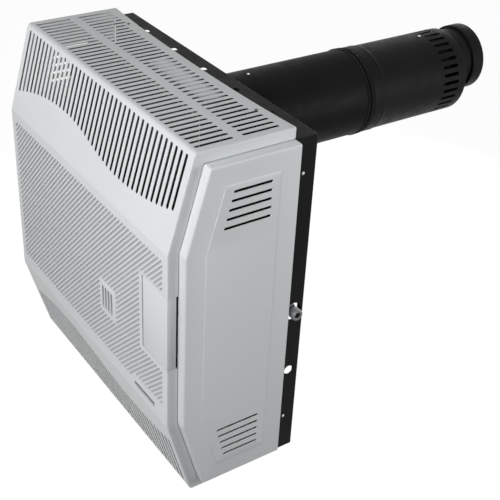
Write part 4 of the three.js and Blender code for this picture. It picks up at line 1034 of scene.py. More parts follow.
    def border(self, skin: Skin, side: Side) -> None:
        """Build one end's plain border, rounded edge and side flange.

        The profile (x, depth) is flat, then x = half - r + r sin t, depth = r - r cos t for t from 0 to 90 degrees,
        then straight in to the flange's width. It is carried along the path moved in by each depth.

        Args:
            skin: The mesh under construction.
            side: Which end.
        """
        path = self.path()
        t = np.linspace(0, np.pi / 2, 6)
        r = self.side_radius
        inner_x = self.half_width - self.bottom_corner
        rear = self.back - self.bottom_rear_gap
        xs = np.concatenate([[inner_x], self.half_width - r + r * np.sin(t), [self.half_width]])
        depths = np.concatenate([[0], r - r * np.cos(t), [self.flange]])
        lip_start, lip_end = path.runs()[4]
        shares = {
            2: self.door_shares(path),
            4: np.array([(rear - lip_start[0]) / (lip_end[0] - lip_start[0])]),
        }
        rows = np.stack([path.points(depth, shares) for depth in depths], axis=1)
        places = np.broadcast_to(side.value * xs[None, :, None], (*rows.shape[:2], 1))
        grid = np.concatenate([places, rows], axis=-1)
        grid[0, :, 1] -= self.bow(xs)
        self._add_border(skin, grid, side)
        plain = np.concatenate([path.points(0.0, shares)[:-1], [[rear, self.bottom + self.bottom_upturn]]])
        strip = np.empty((len(plain), 2, 3))
        strip[:, 0, 0], strip[:, 1, 0] = side.value * self.field_half(), side.value * inner_x
        strip[..., 1:] = plain[:, None, :]
        strip[0, :, 1] -= self.bow(strip[0, :, 0])
        self._add_border(skin, strip, side)

    def door_shares(self, path: BentPath) -> Array:
        """Return the shares of a path's upright run at which the door's opening starts and ends."""
        start, end = path.runs()[2]
        return (self.bottom + np.array(self.door_opening[2:0:-1]) - start[1]) / (end[1] - start[1])

    def _add_border(self, skin: Skin, grid: Array, side: Side) -> None:
        """Add a border grid without the faces that the door's opening takes away.

        Args:
            skin: The mesh under construction.
            grid: The border's points.
            side: Which end.
        """
        centre = cell_middles(grid)
        outward = centre - self.middle
        on_flange = (np.abs(np.diff(grid[:-1, :, 0], axis=1)) < NEAR_ZERO).ravel()
        outward[~on_flange, 0] *= 0.02
        outward[on_flange, 1:] = 0
        low, high = (self.bottom + height for height in self.door_opening[1:])
        taken = (centre[:, 2] > low) & (centre[:, 2] < high) & (centre[:, 1] < self.front + self.flange)
        skin.grid(grid, outward, keep=~taken if side is Side.RIGHT else None)

    def groove_lines(self) -> Array:
        """Find the grooves' centre lines.

        A groove runs along z = x + k pitch through the field. A plain area cuts it into two stretches, and a
        stretch shorter than the least length is left out.

        Returns:
            The X of both ends and the shift k pitch of each stretch, (n, 3).
        """
        left, right, bottom, top = self.groove_field
        step_x, step_height = self.groove_step
        first = math.ceil((bottom - right) / self.groove_pitch)
        last = math.floor((top - left) / self.groove_pitch)
        shift = np.arange(first, last + 1) * self.groove_pitch
        low = np.where(bottom - shift > step_x, bottom + step_height, bottom)
        lines = np.stack([np.maximum(left, low - shift), np.minimum(right, top - shift), shift], axis=-1)
        for area_left, area_right, area_low, area_high in self.plain_areas():
            start = np.maximum(area_left, area_low - lines[:, 2])
            stop = np.minimum(area_right, area_high - lines[:, 2])
            crossed = start < stop
            before, after = lines[crossed].copy(), lines[crossed].copy()
            before[:, 1] = np.minimum(before[:, 1], start[crossed])
            after[:, 0] = np.maximum(after[:, 0], stop[crossed])
            lines = np.concatenate([lines[~crossed], before, after])
        return lines[(lines[:, 1] - lines[:, 0]) * math.sqrt(2) > self.groove_least]

    def plain_areas(self) -> list[Span]:
        """Return the areas that no groove enters, as left, right, low and high.

        Returns:
            The plain areas.
        """
        left, right, low, high = self.window_box()
        margin = self.groove_margin
        door_left, door_low, door_high = self.door_border
        return [
            (door_left, self.half_width, door_low, door_high),
            (left - margin, right + margin, low - margin, high + margin),
        ]

    def window_box(self) -> Span:
        """Return the sight window's left, right, low and high."""
        (x, z), (width, height) = self.window_centre, self.window_frame
        return x - width / 2, x + width / 2, z - height / 2, z + height / 2

    def groove_loops(self, inset: float) -> Array:
        """Outline the grooves with round ends.

        With c the end's centre, u = (1, 1) / sqrt 2, n = (-1, 1) / sqrt 2 and w half the width less the inset, the
        far end is c + w (u cos t + n sin t) and the near one c - w (u cos t + n sin t), for t from -90 to 90
        degrees.

        Args:
            inset: How far the outline lies inside the groove's edge.

        Returns:
            The loops of X and height, (n, points, 2).
        """
        lines = self.groove_lines()
        w = self.groove_width / 2
        along, across = np.array([1, 1]) / math.sqrt(2), np.array([-1, 1]) / math.sqrt(2)
        near = np.stack([lines[:, 0], lines[:, 0] + lines[:, 2]], -1) + along * w
        far = np.stack([lines[:, 1], lines[:, 1] + lines[:, 2]], -1) - along * w
        t = np.linspace(-np.pi / 2, np.pi / 2, 7)[:, None]
        cap = (w - inset) * (along * np.cos(t) + across * np.sin(t))
        return np.concatenate([far[:, None] + cap, near[:, None] - cap], axis=1)

    def grooved_front(self) -> bpy.types.Object:
        """Build the middle front, a plate round the openings and the grooves.

        The plate is the Delaunay triangulation of all the outlines, without the triangles whose middle lies in an
        opening or a groove.

        Returns:
            The piece.
        """
        skin = Skin()
        low, high = self.front_span()
        half = self.field_half()
        loops = list(self.groove_loops(0.0))
        for left, right, bottom, top in [(-half, half, low, high), *self.rectangles()]:
            right = min(right, half)
            loops.append(np.array([[left, bottom], [right, bottom], [right, top], [left, top]]))
        sizes = [len(loop) for loop in loops]
        starts = np.cumsum([0, *sizes[:-1]])
        edges = np.concatenate([
            start + np.stack([np.arange(size), (np.arange(size) + 1) % size], -1)
            for start, size in zip(starts, sizes)
        ])
        flat = [Vector(point) for point in np.concatenate(loops).tolist()]
        corners, _, faces, *_ = delaunay_2d_cdt(flat, edges.tolist(), [], 0, 1e-7)
        plate, faces = np.array([tuple(c) for c in corners]), np.array(faces)
        middle = plate[faces].mean(1)
        keep = ~(self.in_opening(middle[:, 0], middle[:, 1]) | self.in_groove(middle))
        skin.add(self.upright(plate, self.front), faces[keep], TO_ROOM)
        return skin.piece("casing_front")

    def grooves(self) -> bpy.types.Object:
        """Build the grooves' walls and floors.

        The wall's depth is depth * sin(t) at the inset slope * (1 - cos(t)) from the edge, for t from 0 to 90
        degrees.

        Returns:
            The piece.
        """
        skin = Skin()
        levels = []
        for t in np.linspace(0, np.pi / 2, 4):
            loops = self.groove_loops(self.groove_slope * (1 - math.cos(t)))
            levels.append(self.upright(loops, self.front + self.groove_depth * math.sin(t)))
        for outer, inner in zip(levels, levels[1:]):
            skin.rings(inner, outer, None)
        shape = levels[-1].shape[:2]
        skin.add(levels[-1].reshape(-1, 3), np.arange(math.prod(shape)).reshape(shape), TO_ROOM)
        return skin.piece("casing_grooves")

    def upright(self, flat: Array, y: float) -> Array:
        """Place (x, height) on the upright plane of the given Y."""
        return plane(0, 2, y)(flat + np.array([0, self.bottom]))

    def front_span(self) -> Flat:
        """Return the heights between which the middle front is flat."""
        top, bottom = self.path().runs()[2]
        return bottom[1] - self.bottom, top[1] - self.bottom

    def in_groove(self, points: Array) -> Array:
        """Tell which points of X and height lie in a groove.

        Args:
            points: The points, (n, 2).

        Returns:
            True for each point nearer than half the width to a groove's centre line.
        """
        lines = self.groove_lines()
        w = self.groove_width / 2
        off = np.abs(points[:, None, 0] - points[:, None, 1] + lines[None, :, 2]) / math.sqrt(2)
        middle = (points[:, None, 0] + points[:, None, 1] - lines[None, :, 2]) / 2
        inside = (off < w * self.groove_inside) & (middle > lines[None, :, 0]) & (middle < lines[None, :, 1])
        return inside.any(1)

    def rectangles(self) -> list[Span]:
        """Return the openings of the middle front as left, right, low and high."""
        door_left, door_low, door_high = self.door_opening
        return [self.window_box(), (door_left, self.half_width, door_low, door_high), self.thin_slot]

    def in_opening(self, x: Array, z: Array) -> Array:
        """Tell which points lie in an opening of the middle front.

        Args:
            x: The points' places along X.
            z: Their heights.

        Returns:
            True for each point inside.
        """
        return np.logical_or.reduce([
            (x > left) & (x < right) & (z > low) & (z < high) for left, right, low, high in self.rectangles()
        ])

    def lining(self) -> bpy.types.Object:
        """Build the back of the grooved front and the walls of its openings.

        Returns:
            The piece.
        """
        skin = Skin()
        half = self.field_half()
        back = self.front + self.lining_depth
        xs = np.unique(np.concatenate([[-half, half], *[area[:2] for area in self.rectangles()]]))
        xs = xs[np.abs(xs) <= half + NEAR_ZERO]
        zs = np.unique(np.concatenate([self.front_span(), *[area[2:] for area in self.rectangles()]]))
        points = self.upright(np.stack(np.meshgrid(xs, zs, indexing="ij"), -1), back)
        middle = cell_middles(points)
        keep = ~self.in_opening(middle[:, 0], middle[:, 2] - self.bottom)
        skin.grid(points, TO_WALL, keep=keep)
        for left, right, bottom, top in self.rectangles()[1:]:
            right = min(right, half)
            corners = np.array([[left, bottom], [right, bottom], [right, top], [left, top], [left, bottom]])
            centre = np.array([(left + right) / 2, 0, (bottom + top) / 2 + self.bottom])
            wall = np.stack([self.upright(corners, y) for y in (self.front, back)])
            open_right = left == self.door_opening[0]
            for part in (wall[:, [1, 0]], wall[:, [3, 2]], wall[:, [0, 3]]) if open_right else (wall,):
                inward = centre - cell_middles(part)
                inward[:, 1] = 0
                skin.grid(part, inward)
        return skin.piece("casing_front_lining")

    def window(self) -> bpy.types.Object:
        """Build the raised plate with the sight slots.

        Its rim is a quarter round: proud = rise * sin t, set in by corner * (1 - cos t).

        Returns:
            The piece.
        """
        skin = Skin()
        x, z = self.window_centre
        left, right, low, high = self.window_box()
        corner, pitch = self.window_corner, self.window_pitch
        slot_width, slot_height = self.window_slot
        middles = x + (np.arange(self.window_slots) - (self.window_slots - 1) / 2) * pitch
        proud = self.front - self.window_rise
        inner = stadium(z - slot_height / 2, z + slot_height / 2, middles, slot_width)
        outer = cell_frames(upright_cells(middles, pitch / 2, low + corner, high - corner))
        skin.rings(self.upright(inner, proud), self.upright(outer, proud), TO_ROOM)
        field_half = self.window_slots * pitch / 2
        for xs in ([x - field_half, left + corner], [x + field_half, right - corner]):
            flat = np.stack(np.meshgrid(xs, [low + corner, high - corner], indexing="ij"), -1)
            skin.grid(self.upright(flat, proud), TO_ROOM)
        rows = []
        for t in np.linspace(0, np.pi / 2, 5):
            inset = corner * (1 - math.cos(t))
            a, b, c, d = left + inset, right - inset, low + inset, high - inset
            loop = np.array([[a, c], [b, c], [b, d], [a, d]])
            rows.append(self.upright(loop, self.front - self.window_rise * math.sin(t)))
        grid = np.stack(rows)
        behind = np.array([x, self.front + 20 * MM, z + self.bottom])
        skin.grid(grid, cell_middles(grid, closed=True) - behind, closed=True)
        return skin.piece("sight_window", self.lining_depth + self.window_rise)

    def hinge_lugs(self) -> bpy.types.Object:
        """Build the two ears that hold the door's hinge pin, each with a round outer end and a hole.

        Returns:
            The piece.
        """
        skin = Skin()
        pin_low, pin_high = box_of("door_hinge_pin")
        centre = ((pin_low + pin_high) / 2)[:2]
        t = np.linspace(0, np.pi, 13)
        arc = centre + self.lug_radius * np.stack([np.cos(t), self.lug_squash * np.sin(t)], -1)
        base = np.linspace(centre[0] - self.lug_radius, centre[0] + self.lug_radius, 9)[1:-1]
        outline = np.concatenate([arc, np.stack([base, np.full(len(base), self.front + self.sheet)], -1)])
        angle = np.arctan2(*(outline - centre).T[::-1])
        bore = centre + self.lug_hole * np.stack([np.cos(angle), np.sin(angle)], -1)
        thickness = self.lug_thickness
        for low in (pin_low[2] + self.lug_inset, pin_high[2] - self.lug_inset - thickness):
            high = low + thickness
            rows = [(bore, low), (outline, low), (outline, high), (bore, high), (bore, low)]
            skin.grid(np.stack([plane(0, 1, z)(loop) for loop, z in rows]), closed=True)
        return recalculated(skin.piece("hinge_lugs"))


# ---------------------------------------------------------------- side covers


@dataclass
class SideCover:
    """A pressed end cover with two groups of louvre slots and a raised field."""

    side: Side
    casing: Casing
    gap: float = 1.2 * MM
    rise: float = 16.4 * MM
    sheet: float = 1.2 * MM
    lip: float = 7 * MM
    edge_radius: float = 3.2 * MM
    emboss_inset: float = 32.8 * MM
    emboss_rear_inset: float = 34 * MM
    emboss_rise: float = 0.8 * MM
    emboss_slope: float = 1.0 * MM
    rear_lip_gap: float = 0.7 * MM
    notch_reach: float = 170 * MM
    slots: int = 5
    slot_pitch: float = 13.7 * MM
    slot_height: float = 4.6 * MM
    slot_rear: float = 46 * MM
    slot_length: float = 64 * MM
    slot_growth: float = 3.4 * MM
    upper_slot: float = 542.7 * MM
    lower_slot: float = 66.7 * MM

    def build(self) -> None:
        """Build the cover."""
        finish_piece(self.cover(), Body.HEATER, PALE_COAT, "side_cover_" + self.side.name.lower())

    def edge(self) -> BentPath:
        """Return the cover's own side outline, a path moved in from the casing's.

        Between runs with the normals a and b a corner moves in by inset * (a + b) / (1 + a . b).

        Returns:
            The path.
        """
        outer = self.casing.path()
        normals = outer.normals()
        before, after = normals[[0, *range(len(normals))]], normals[[*range(len(normals)), -1]]
        share = 1 + (before * after).sum(1)[:, None]
        corners = outer.corners - (before + after) / share * (self.casing.flange + self.gap)
        return BentPath(corners, outer.radii / 2, bend_steps=8)

    def cover(self) -> bpy.types.Object:
        """Build lip, wall, rounded edge, face, raised field and slots as one sheet.

        Returns:
            The piece.
        """
        skin = Skin()
        path = self.edge()
        casing = self.casing
        face = casing.half_width + self.rise
        r = self.edge_radius
        t = np.linspace(0, np.pi / 2, 8)
        under = casing.half_width - casing.sheet - CLEARANCE - self.sheet
        xs = np.concatenate([[under, under, face - r], face - r + r * np.sin(t[1:])])
        depths = np.concatenate([[-self.lip - self.gap, 0, 0], r - r * np.cos(t[1:])])
        shares = {2: casing.door_shares(path)}
        rows = np.stack([path.points(depth, shares) for depth in depths], axis=0)
        places = np.broadcast_to(xs[:, None, None] * self.side.value, (*rows.shape[:2], 1))
        grid = np.concatenate([places, rows], axis=-1)
        cells = cell_middles(grid)
        on_lip, on_wall = np.arange(len(cells)) // (rows.shape[1] - 1) == np.array([[0], [1]])
        outward = cells - casing.middle
        outward[on_lip, 1:] = 0
        outward[on_wall, 0] = 0
        low, high = (casing.bottom + height for height in casing.door_opening[1:])
        notch = on_lip & (cells[:, 2] > low) & (cells[:, 2] < high)
        notch &= cells[:, 1] < casing.back - self.notch_reach
        skin.grid(grid, outward, keep=~notch if self.side is Side.RIGHT else None)
        self._face(skin, path, r, face)
        return skin.piece("cover_" + self.side.name.lower(), self.sheet)

    def _face(self, skin: Skin, path: BentPath, start: float, face: float) -> None:
        """Add the flat rim, the lip turned in at its rear, the step up to the raised field and the field.

        The step's height is rise (1 - cos(pi u)) / 2 for u from 0 to 1 across its slope.

        Args:
            skin: The mesh under construction.
            path: The cover's side outline.
            start: Depth where the rounded edge meets the face.
            face: Distance of the face from the heater's middle.
        """
        back = self.casing.back
        loops = [(start, back, face)]
        for u in np.linspace(0, 1, 6):
            inset = self.emboss_inset - self.emboss_slope * (1 - u)
            rear = back - self.emboss_rear_inset + self.emboss_slope * (1 - u)
            loops.append((inset, rear, face + self.emboss_rise * (1 - math.cos(math.pi * u)) / 2))
        rows = []
        for inset, rear, x in loops:
            outline = path.points(inset, {2: self.casing.door_shares(path)})
            outline[0, 0] = outline[-1, 0] = rear
            rows.append(np.column_stack([np.full(len(outline), x * self.side.value), outline]))
        grid = np.stack(rows)
        skin.grid(grid, np.array([self.side.value, 0, 0]), closed=True)
        lip = np.stack([grid[0, [0, -1]]] * 2)
        lip[1, :, 0] = self.side.value * (PAN_HALF_WIDTH + self.rear_lip_gap)
        skin.grid(lip, TO_WALL)
        self._field(skin, rows[-1])

    def _field(self, skin: Skin, rim: Array) -> None:
        """Fill the raised field: slotted rows above and below, plain sheet between.

        Args:
            skin: The mesh under construction.
            rim: The field's outline.
        """
        lay = plane(2, 1, rim[0, 0])
        rear, top, bottom = rim[0, 1], rim[0, 2], rim[-1, 2]
        outward = np.array([self.side.value, 0, 0])
        order = np.argsort(rim[1:-1, 2])
        heights, fronts = rim[1:-1, 2][order], rim[1:-1, 1][order]

        def cell_side(z: Array, y: Array | float | None = None) -> Array:
            """Return (height, Y) at a Y, or on the field's front edge."""
            return np.stack(np.broadcast_arrays(z, np.interp(z, heights, fronts) if y is None else y), -1)

        number = np.arange(self.slots)
        half = self.slot_pitch / 2
        upper = self.casing.bottom + self.upper_slot - self.slot_pitch * number
        lower = self.casing.bottom + self.lower_slot + self.slot_pitch * number
        rear_slot = self.casing.back - self.slot_rear
        ends = rear_slot - self.slot_length - self.slot_growth * number
        upper_highs = np.where(number == 0, top, upper + half)
        lower_lows = np.where(number == 0, bottom, lower - half)
        for middles, lows, highs in ((upper, upper - half, upper_highs), (lower, lower_lows, lower + half)):
            corners = np.stack(
                [cell_side(lows), cell_side(highs), cell_side(highs, rear), cell_side(lows, rear)], axis=1
            )
            inner = stadium(ends, rear_slot, middles, self.slot_height)
            skin.rings(lay(inner), lay(cell_frames(corners)), outward)
        seam_low, seam_high = lower[-1] + half, upper[-1] - half
        inside = heights[(heights > seam_low) & (heights < seam_high)]
        levels = np.concatenate([[seam_low], inside, [seam_high]])
        skin.grid(lay(np.stack([cell_side(levels), cell_side(levels, rear)], axis=1)), outward)


# ---------------------------------------------------------------- wall pan


@dataclass
class WallPan:
    """The black tray between the casing and the wall."""

    half_width: float = PAN_HALF_WIDTH
    low: float = -7 * MM
    high: float = 572 * MM
    front: float = -36.7 * MM
    lip: float = 14 * MM
    sheet: float = 1.2 * MM
    edge_radius: float = 2.4 * MM
    top_hole_pitch: float = 90.5 * MM
    top_hole_radius: float = 6 * MM
    top_hole_setback: float = 22 * MM
    flue_z: float = 472 * MM
    flue_hole: float = 72.9 * MM
    pipe_x: float = 232 * MM
    pipe_z: float = 274 * MM
    pipe_hole: float = 8 * MM
    inlet_hole: float = 15 * MM
    inlet_setback: float = 20 * MM
    side_hole: Point = (8 * MM, 19 * MM, 158 * MM)
    wall_hole: float = 3.5 * MM
    wall_hole_inset: float = 60 * MM
    pipe_strip: float = 20 * MM
    hole_margin: float = 1.5

    def build(self) -> None:
        """Build the tray."""
        finish_piece(self.tray(), Body.HEATER, BLACK_COAT, "wall_pan")

    def tray(self) -> bpy.types.Object:
        """Build the plate, the four flanges with their bends and the four wall lips as one sheet.

        The bends are quarter rounds: set in by r (1 - sin t) at r (1 - cos t) behind the front, for t from 0 to 90
        degrees, and the same before the wall.

        Returns:
            The piece.
        """
        skin = Skin()
        self._plate(skin)
        r = self.edge_radius
        t = np.linspace(0, np.pi / 2, 6)
        w, low, high = self.half_width, self.low, self.high
        middle = np.array([0, self.front / 2, (low + high) / 2])

        def loop(inset: float, y: float) -> Array:
            """Return the tray's rectangle moved in by an inset at a given Y."""
            a, b, c = w - inset, low + inset, high - inset
            return plane(0, 2, y)(np.array([[-a, b], [a, b], [a, c], [-a, c]]))

        front_bend = np.stack([loop(r - r * math.sin(a), self.front + r - r * math.cos(a)) for a in t])
        rear_bend = np.stack([loop(r - r * math.cos(a), -r + r * math.sin(a)) for a in t])
        for grid in (front_bend, rear_bend):
            skin.grid(grid, cell_middles(grid, closed=True) - middle, closed=True)
        self._flanges(skin, front_bend[-1], rear_bend[0])
        self._lips(skin, rear_bend[-1])
        return skin.piece("pan_tray", self.sheet)

    def _holed(
        self, skin: Skin, lay: Callable[[Array], Array], span: Span, holes: list[Point], outward: Array
    ) -> None:
        """Add a rectangle with round holes that lie in one row along its first coordinate.

        Each hole's loop (u + r cos t, v + r sin t) is joined to its cell's border, and plain cells fill the rest.

        Args:
            skin: The mesh under construction.
            lay: Places (u, v) in space.
            span: The rectangle's u and v limits.
            holes: For each hole its u, v and radius, in the order of u.
            outward: The outward direction.
        """
        u0, u1, v0, v1 = span
        at = u0
        steps = 12

        def plain(start: float, end: float) -> None:
            """Add the plain cell between two places, if it has a width."""
            if end > start + NEAR_ZERO:
                skin.grid(lay(np.stack(np.meshgrid([start, end], [v0, v1], indexing="ij"), -1)), outward)

        for u, v, radius in holes:
            half = max(radius * self.hole_margin, min(v1 - v, v - v0))
            left, right = max(u - half, at), min(u + half, u1)
            plain(at, left)
            corners = np.array([[left, v0], [right, v0], [right, v1], [left, v1]])
            t = np.linspace(-np.pi / 4, -np.pi / 4 + 2 * np.pi, 4 * steps, endpoint=False)
            loop = np.stack([u + radius * np.cos(t), v + radius * np.sin(t)], -1)
            side, step = np.divmod(np.arange(4 * steps), steps)
            share = (step / steps)[:, None]
            ring = corners[(side + 1) % 4] * (1 - share) + corners[(side + 2) % 4] * share
            skin.rings(lay(loop)[None], lay(ring)[None], outward)
            at = right
        plain(at, u1)

    def _plate(self, skin: Skin) -> None:
        """Add the front plate with the flue's hole and the pipe's hole.

        Args:
            skin: The mesh under construction.
        """
        r = self.edge_radius
        w, low, high = self.half_width - r, self.low + r, self.high - r
        lay = plane(0, 2, self.front)
        seam_low, seam_high = self.pipe_z - self.pipe_strip, self.pipe_z + self.pipe_strip
        flue, pipe = (0.0, self.flue_z, self.flue_hole), (self.pipe_x, self.pipe_z, self.pipe_hole)
        self._holed(skin, lay, (-w, w, seam_high, high), [flue], TO_ROOM)
        self._holed(skin, lay, (-w, w, seam_low, seam_high), [pipe], TO_ROOM)
        self._holed(skin, lay, (-w, w, low, seam_low), [], TO_ROOM)

    def _flanges(self, skin: Skin, front: Array, rear: Array) -> None:
        """Add the four flanges between the bends.

        Args:
            skin: The mesh under construction.
            front: Corners of the front bend's end.
            rear: Corners of the rear bend's start.
        """
        y0, y1 = front[0, 1], rear[0, 1]
        w, low, high = self.half_width, self.low, self.high
        top_holes = [(i * self.top_hole_pitch, -self.top_hole_setback, self.top_hole_radius) for i in range(-2, 3)]
        radius, setback, side_z = self.side_hole
        right_holes = [(side_z, -setback, radius), (self.pipe_z, -self.inlet_setback, self.inlet_hole)]
        self._holed(skin, plane(0, 1, high), (-w, w, y0, y1), top_holes, np.array([0, 0, 1]))
        self._holed(skin, plane(0, 1, low), (-w, w, y0, y1), [], np.array([0, 0, -1]))
        self._holed(skin, plane(2, 1, w), (low, high, y0, y1), right_holes, np.array([1, 0, 0]))
        self._holed(skin, plane(2, 1, -w), (low, high, y0, y1), [], np.array([-1, 0, 0]))

    def _lips(self, skin: Skin, outer: Array) -> None:
        """Add the four lips that lie on the wall, the side ones with a hole near each end.

        Args:
            skin: The mesh under construction.
            outer: Corners of the rear bend's end.
        """
        w, low, high = outer[1, 0], outer[0, 2], outer[2, 2]
        inner_w, inner_low, inner_high = self.half_width - self.lip, self.low + self.lip, self.high - self.lip
        lay = plane(2, 0, 0.0)
        heights = (self.low + self.wall_hole_inset, self.high - self.wall_hole_inset)
        for a, b in ((-w, -inner_w), (inner_w, w)):
            x = math.copysign(self.half_width - self.lip / 2, a + b)
            self._holed(skin, lay, (low, high, a, b), [(z, x, self.wall_hole) for z in heights], TO_WALL)
        for a, b in ((low, inner_low), (inner_high, high)):
            self._holed(skin, lay, (a, b, -inner_w, inner_w), [], TO_WALL)


# ---------------------------------------------------------------- flue


@dataclass
class Flue:
    """The air duct with its joint and slotted intake, and the flue that stands out of it."""

    centre_z: float = 472 * MM
    radius: float = 74.4 * MM
    outer_radius: float = 73.9 * MM
    wall: float = 1.2 * MM
    start_y: float = -33.7 * MM
    joint_y: float = 266 * MM
    intake_y: float = 431 * MM
    end_y: float = 488 * MM
    bead: float = 1.8 * MM
    sleeve_length: float = 30 * MM
    rim: float = 2.6 * MM
    slot_count: int = 32
    slot_span: Flat = (435 * MM, 471 * MM)
    slot_width: float = 6.2 * MM
    flue_rise: float = 16 * MM
    flue_radius: float = 54 * MM
    flue_wall: float = 1 * MM
    cap_radius: float = 59 * MM
    cap_span: Flat = (518 * MM, 543 * MM)
    cap_wall: float = 2.4 * MM
    cap_floor: float = 8 * MM
    segments: int = 128

    def build(self) -> None:
        """Build the duct's sections, the intake, the flue and its collar."""
        finish_piece(self.inner_section(), Body.HEATER, BLACK_COAT, "outer_duct_inner")
        finish_piece(self.outer_section(), Body.HEATER, BLACK_COAT, "outer_duct_outer")
        finish_piece(self.intake(), Body.HEATER, BLACK_COAT, "intake_ring")
        finish_piece(self.tube(), Body.HEATER, BLACK_COAT, "flue_tube")
        finish_piece(self.cap(), Body.HEATER, BLACK_COAT, "flue_cap")

    def _ring(self, name: str, profile: list[Flat], rise: float = 0.0) -> bpy.types.Object:
        """Turn a closed profile about the duct's axis.

        Args:
            name: The piece's name.
            profile: Radius and Y of the closed outline.
            rise: Height of the piece's axis above the duct's.

        Returns:
            The piece.
        """
        grid = turned([*profile, profile[0]], self.segments)
        grid[..., 2] += self.centre_z + rise
        return closed_piece(name, grid)

    def _swell(self, at: float, half: float, height: float, base: float, steps: int = 8) -> list[Flat]:
        """Draw a rolled bead: radius base + height (1 + cos(pi u)) / 2 for u from -1 to 1 across it.

        Args:
            at: Y of the bead's middle.
            half: Half its width.
            height: Its height.
            base: Radius of the tube beside it.
            steps: Segments across it.

        Returns:
            Pairs of radius and Y.
        """
        u = np.linspace(-1, 1, steps + 1)
        return list(zip((base + height * (1 + np.cos(np.pi * u)) / 2).tolist(), (at + half * u).tolist()))

    def inner_section(self) -> bpy.types.Object:
        """Build the section from the pan to the joint, with a bead before its end.

        Returns:
            The piece.
        """
        r, inner, end = self.radius, self.radius - self.wall, self.joint_y
        bead = self._swell(end - 4 * MM, 3.4 * MM, self.bead, r)
        profile = [(inner, self.start_y), (r, self.start_y), *bead, (r + 0.3 * MM, end), (inner, end)]
        return self._ring("duct_inner_section", profile)

    def outer_section(self) -> bpy.types.Object:
        """Build the section past the joint: a sleeve, a bead, a raised band that tapers off, and a plain tube.

        Returns:
            The piece.
        """
        r, inner = self.outer_radius, self.outer_radius - self.wall
        sleeve = self.radius - self.wall - CLEARANCE
        sleeve_start = self.joint_y - self.sleeve_length
        start = self.joint_y + 2 * MM
        end = self.intake_y - CLEARANCE
        joint_swell = self._swell(start + 30 * MM, 3 * MM, 0.4 * MM, r + 0.7 * MM, 6)[1:-1]
        band = [
            (r + 1.0 * MM, start + 8 * MM), (r + 0.9 * MM, start + 26 * MM), *joint_swell,
            (r + 0.2 * MM, start + 34 * MM), (r, start + 36 * MM),
        ]
        profile = [
            (sleeve - self.wall, sleeve_start), (sleeve, sleeve_start), (sleeve, start),
            *self._swell(start + 3.4 * MM, 3.4 * MM, self.bead * 0.9, r + 0.3 * MM), *band,
            (r, end), (inner, end), (inner, start + 4 * MM), (sleeve - self.wall, start),
        ]
        return self._ring("duct_outer_section", profile)

    def intake(self) -> bpy.types.Object:
        """Build the slotted ring: a sheet wrapped round the axis, with its end rolled in.

        A flat point (s, y) lands at (R cos(s / R), y, R sin(s / R)), where s runs once round.

        Returns:
            The piece.
        """
        skin = Skin()
        r = self.outer_radius
        pitch = 2 * np.pi * r / self.slot_count
        middles = (np.arange(self.slot_count) + 0.5) * pitch
        inner = stadium(*self.slot_span, middles, self.slot_width)
        before, after = self.slot_span[0] - 2 * MM, self.slot_span[1] + 2 * MM
        outer = cell_frames(upright_cells(middles, pitch / 2, before, after))

        def lay(flat: Array, radius: float = r) -> Array:
            """Wrap (arc length, y) round the axis."""
            angle = flat[..., 0] / r
            return np.stack([radius * np.cos(angle), flat[..., 1], self.centre_z + radius * np.sin(angle)], -1)

        def away(points: Array) -> Array:
            """Return the direction from the axis to each point."""
            return (points - np.array([0, 0, self.centre_z])) * np.array([1, 0, 1])

        loops_in, loops_out = lay(inner), lay(outer)
        skin.rings(loops_in, loops_out, np.repeat(away(loops_out.mean(1)), loops_in.shape[1], axis=0))
        columns = self.slot_count * 8
        arc = np.linspace(0, 2 * np.pi * r, columns, endpoint=False)
        t = np.linspace(0, np.pi / 2, 5)
        roll = self.rim - self.wall
        rolled = [r, *(r - roll + roll * np.cos(t)), r - self.rim]
        rolled_y = [after, *(self.end_y - roll + roll * np.sin(t)), self.end_y]
        for radii, ys, forward in (([r, r], [self.intake_y, before], 0.0), (rolled, rolled_y, 10 * MM)):
            grid = np.stack([
                lay(np.stack([arc, np.full(columns, y)], -1), radius) for radius, y in zip(radii, ys)
            ])
            skin.grid(grid, away(cell_middles(grid, closed=True)) + forward * TO_WALL, closed=True)
        return skin.piece("intake_section", self.wall)

    def tube(self) -> bpy.types.Object:
        """Build the flue's plain tube.

        Returns:
            The piece.
        """
        low, high = box_of("flue_tube")
        r, inner = self.flue_radius, self.flue_radius - self.flue_wall
        profile = [(inner, low[1]), (r, low[1]), (r, high[1]), (inner, high[1])]
        return self._ring("flue_pipe", profile, self.flue_rise)

    def cap(self) -> bpy.types.Object:
        """Build the outlet collar with rolled edges, seated on the tube.

        Returns:
            The piece.
        """
        r, inner = self.cap_radius, self.cap_radius - self.cap_wall
        start, end = self.cap_span
        floor = start + self.cap_floor
        seat = self.flue_radius + CLEARANCE
        outer = fillet((r, start), (seat, start), (r, end), 1.6 * MM)
        mouth = fillet((r, end), (r, start), (seat, end), 1.1 * MM)
        inside = fillet((inner, end), (r, end), (inner, start), 1.1 * MM)
        profile = [(seat, start), *outer, *mouth, *inside, (inner, floor), (seat, floor)]
        return self._ring("flue_collar", profile, self.flue_rise)


# ---------------------------------------------------------------- refined copies


def copied(node: str, ending: str) -> bpy.types.Object:
    """Copy a solid into a welded object at the origin.

    Args:
        node: The solid.
        ending: What the copy's name adds to the solid's.

    Returns:
        The copy.
    """
    source = frame["nodes"][node]
    mesh = source.data.copy()
    mesh.transform(source.matrix_world)
    weld(mesh, 1e-6)
    return linked(node + ending, mesh)


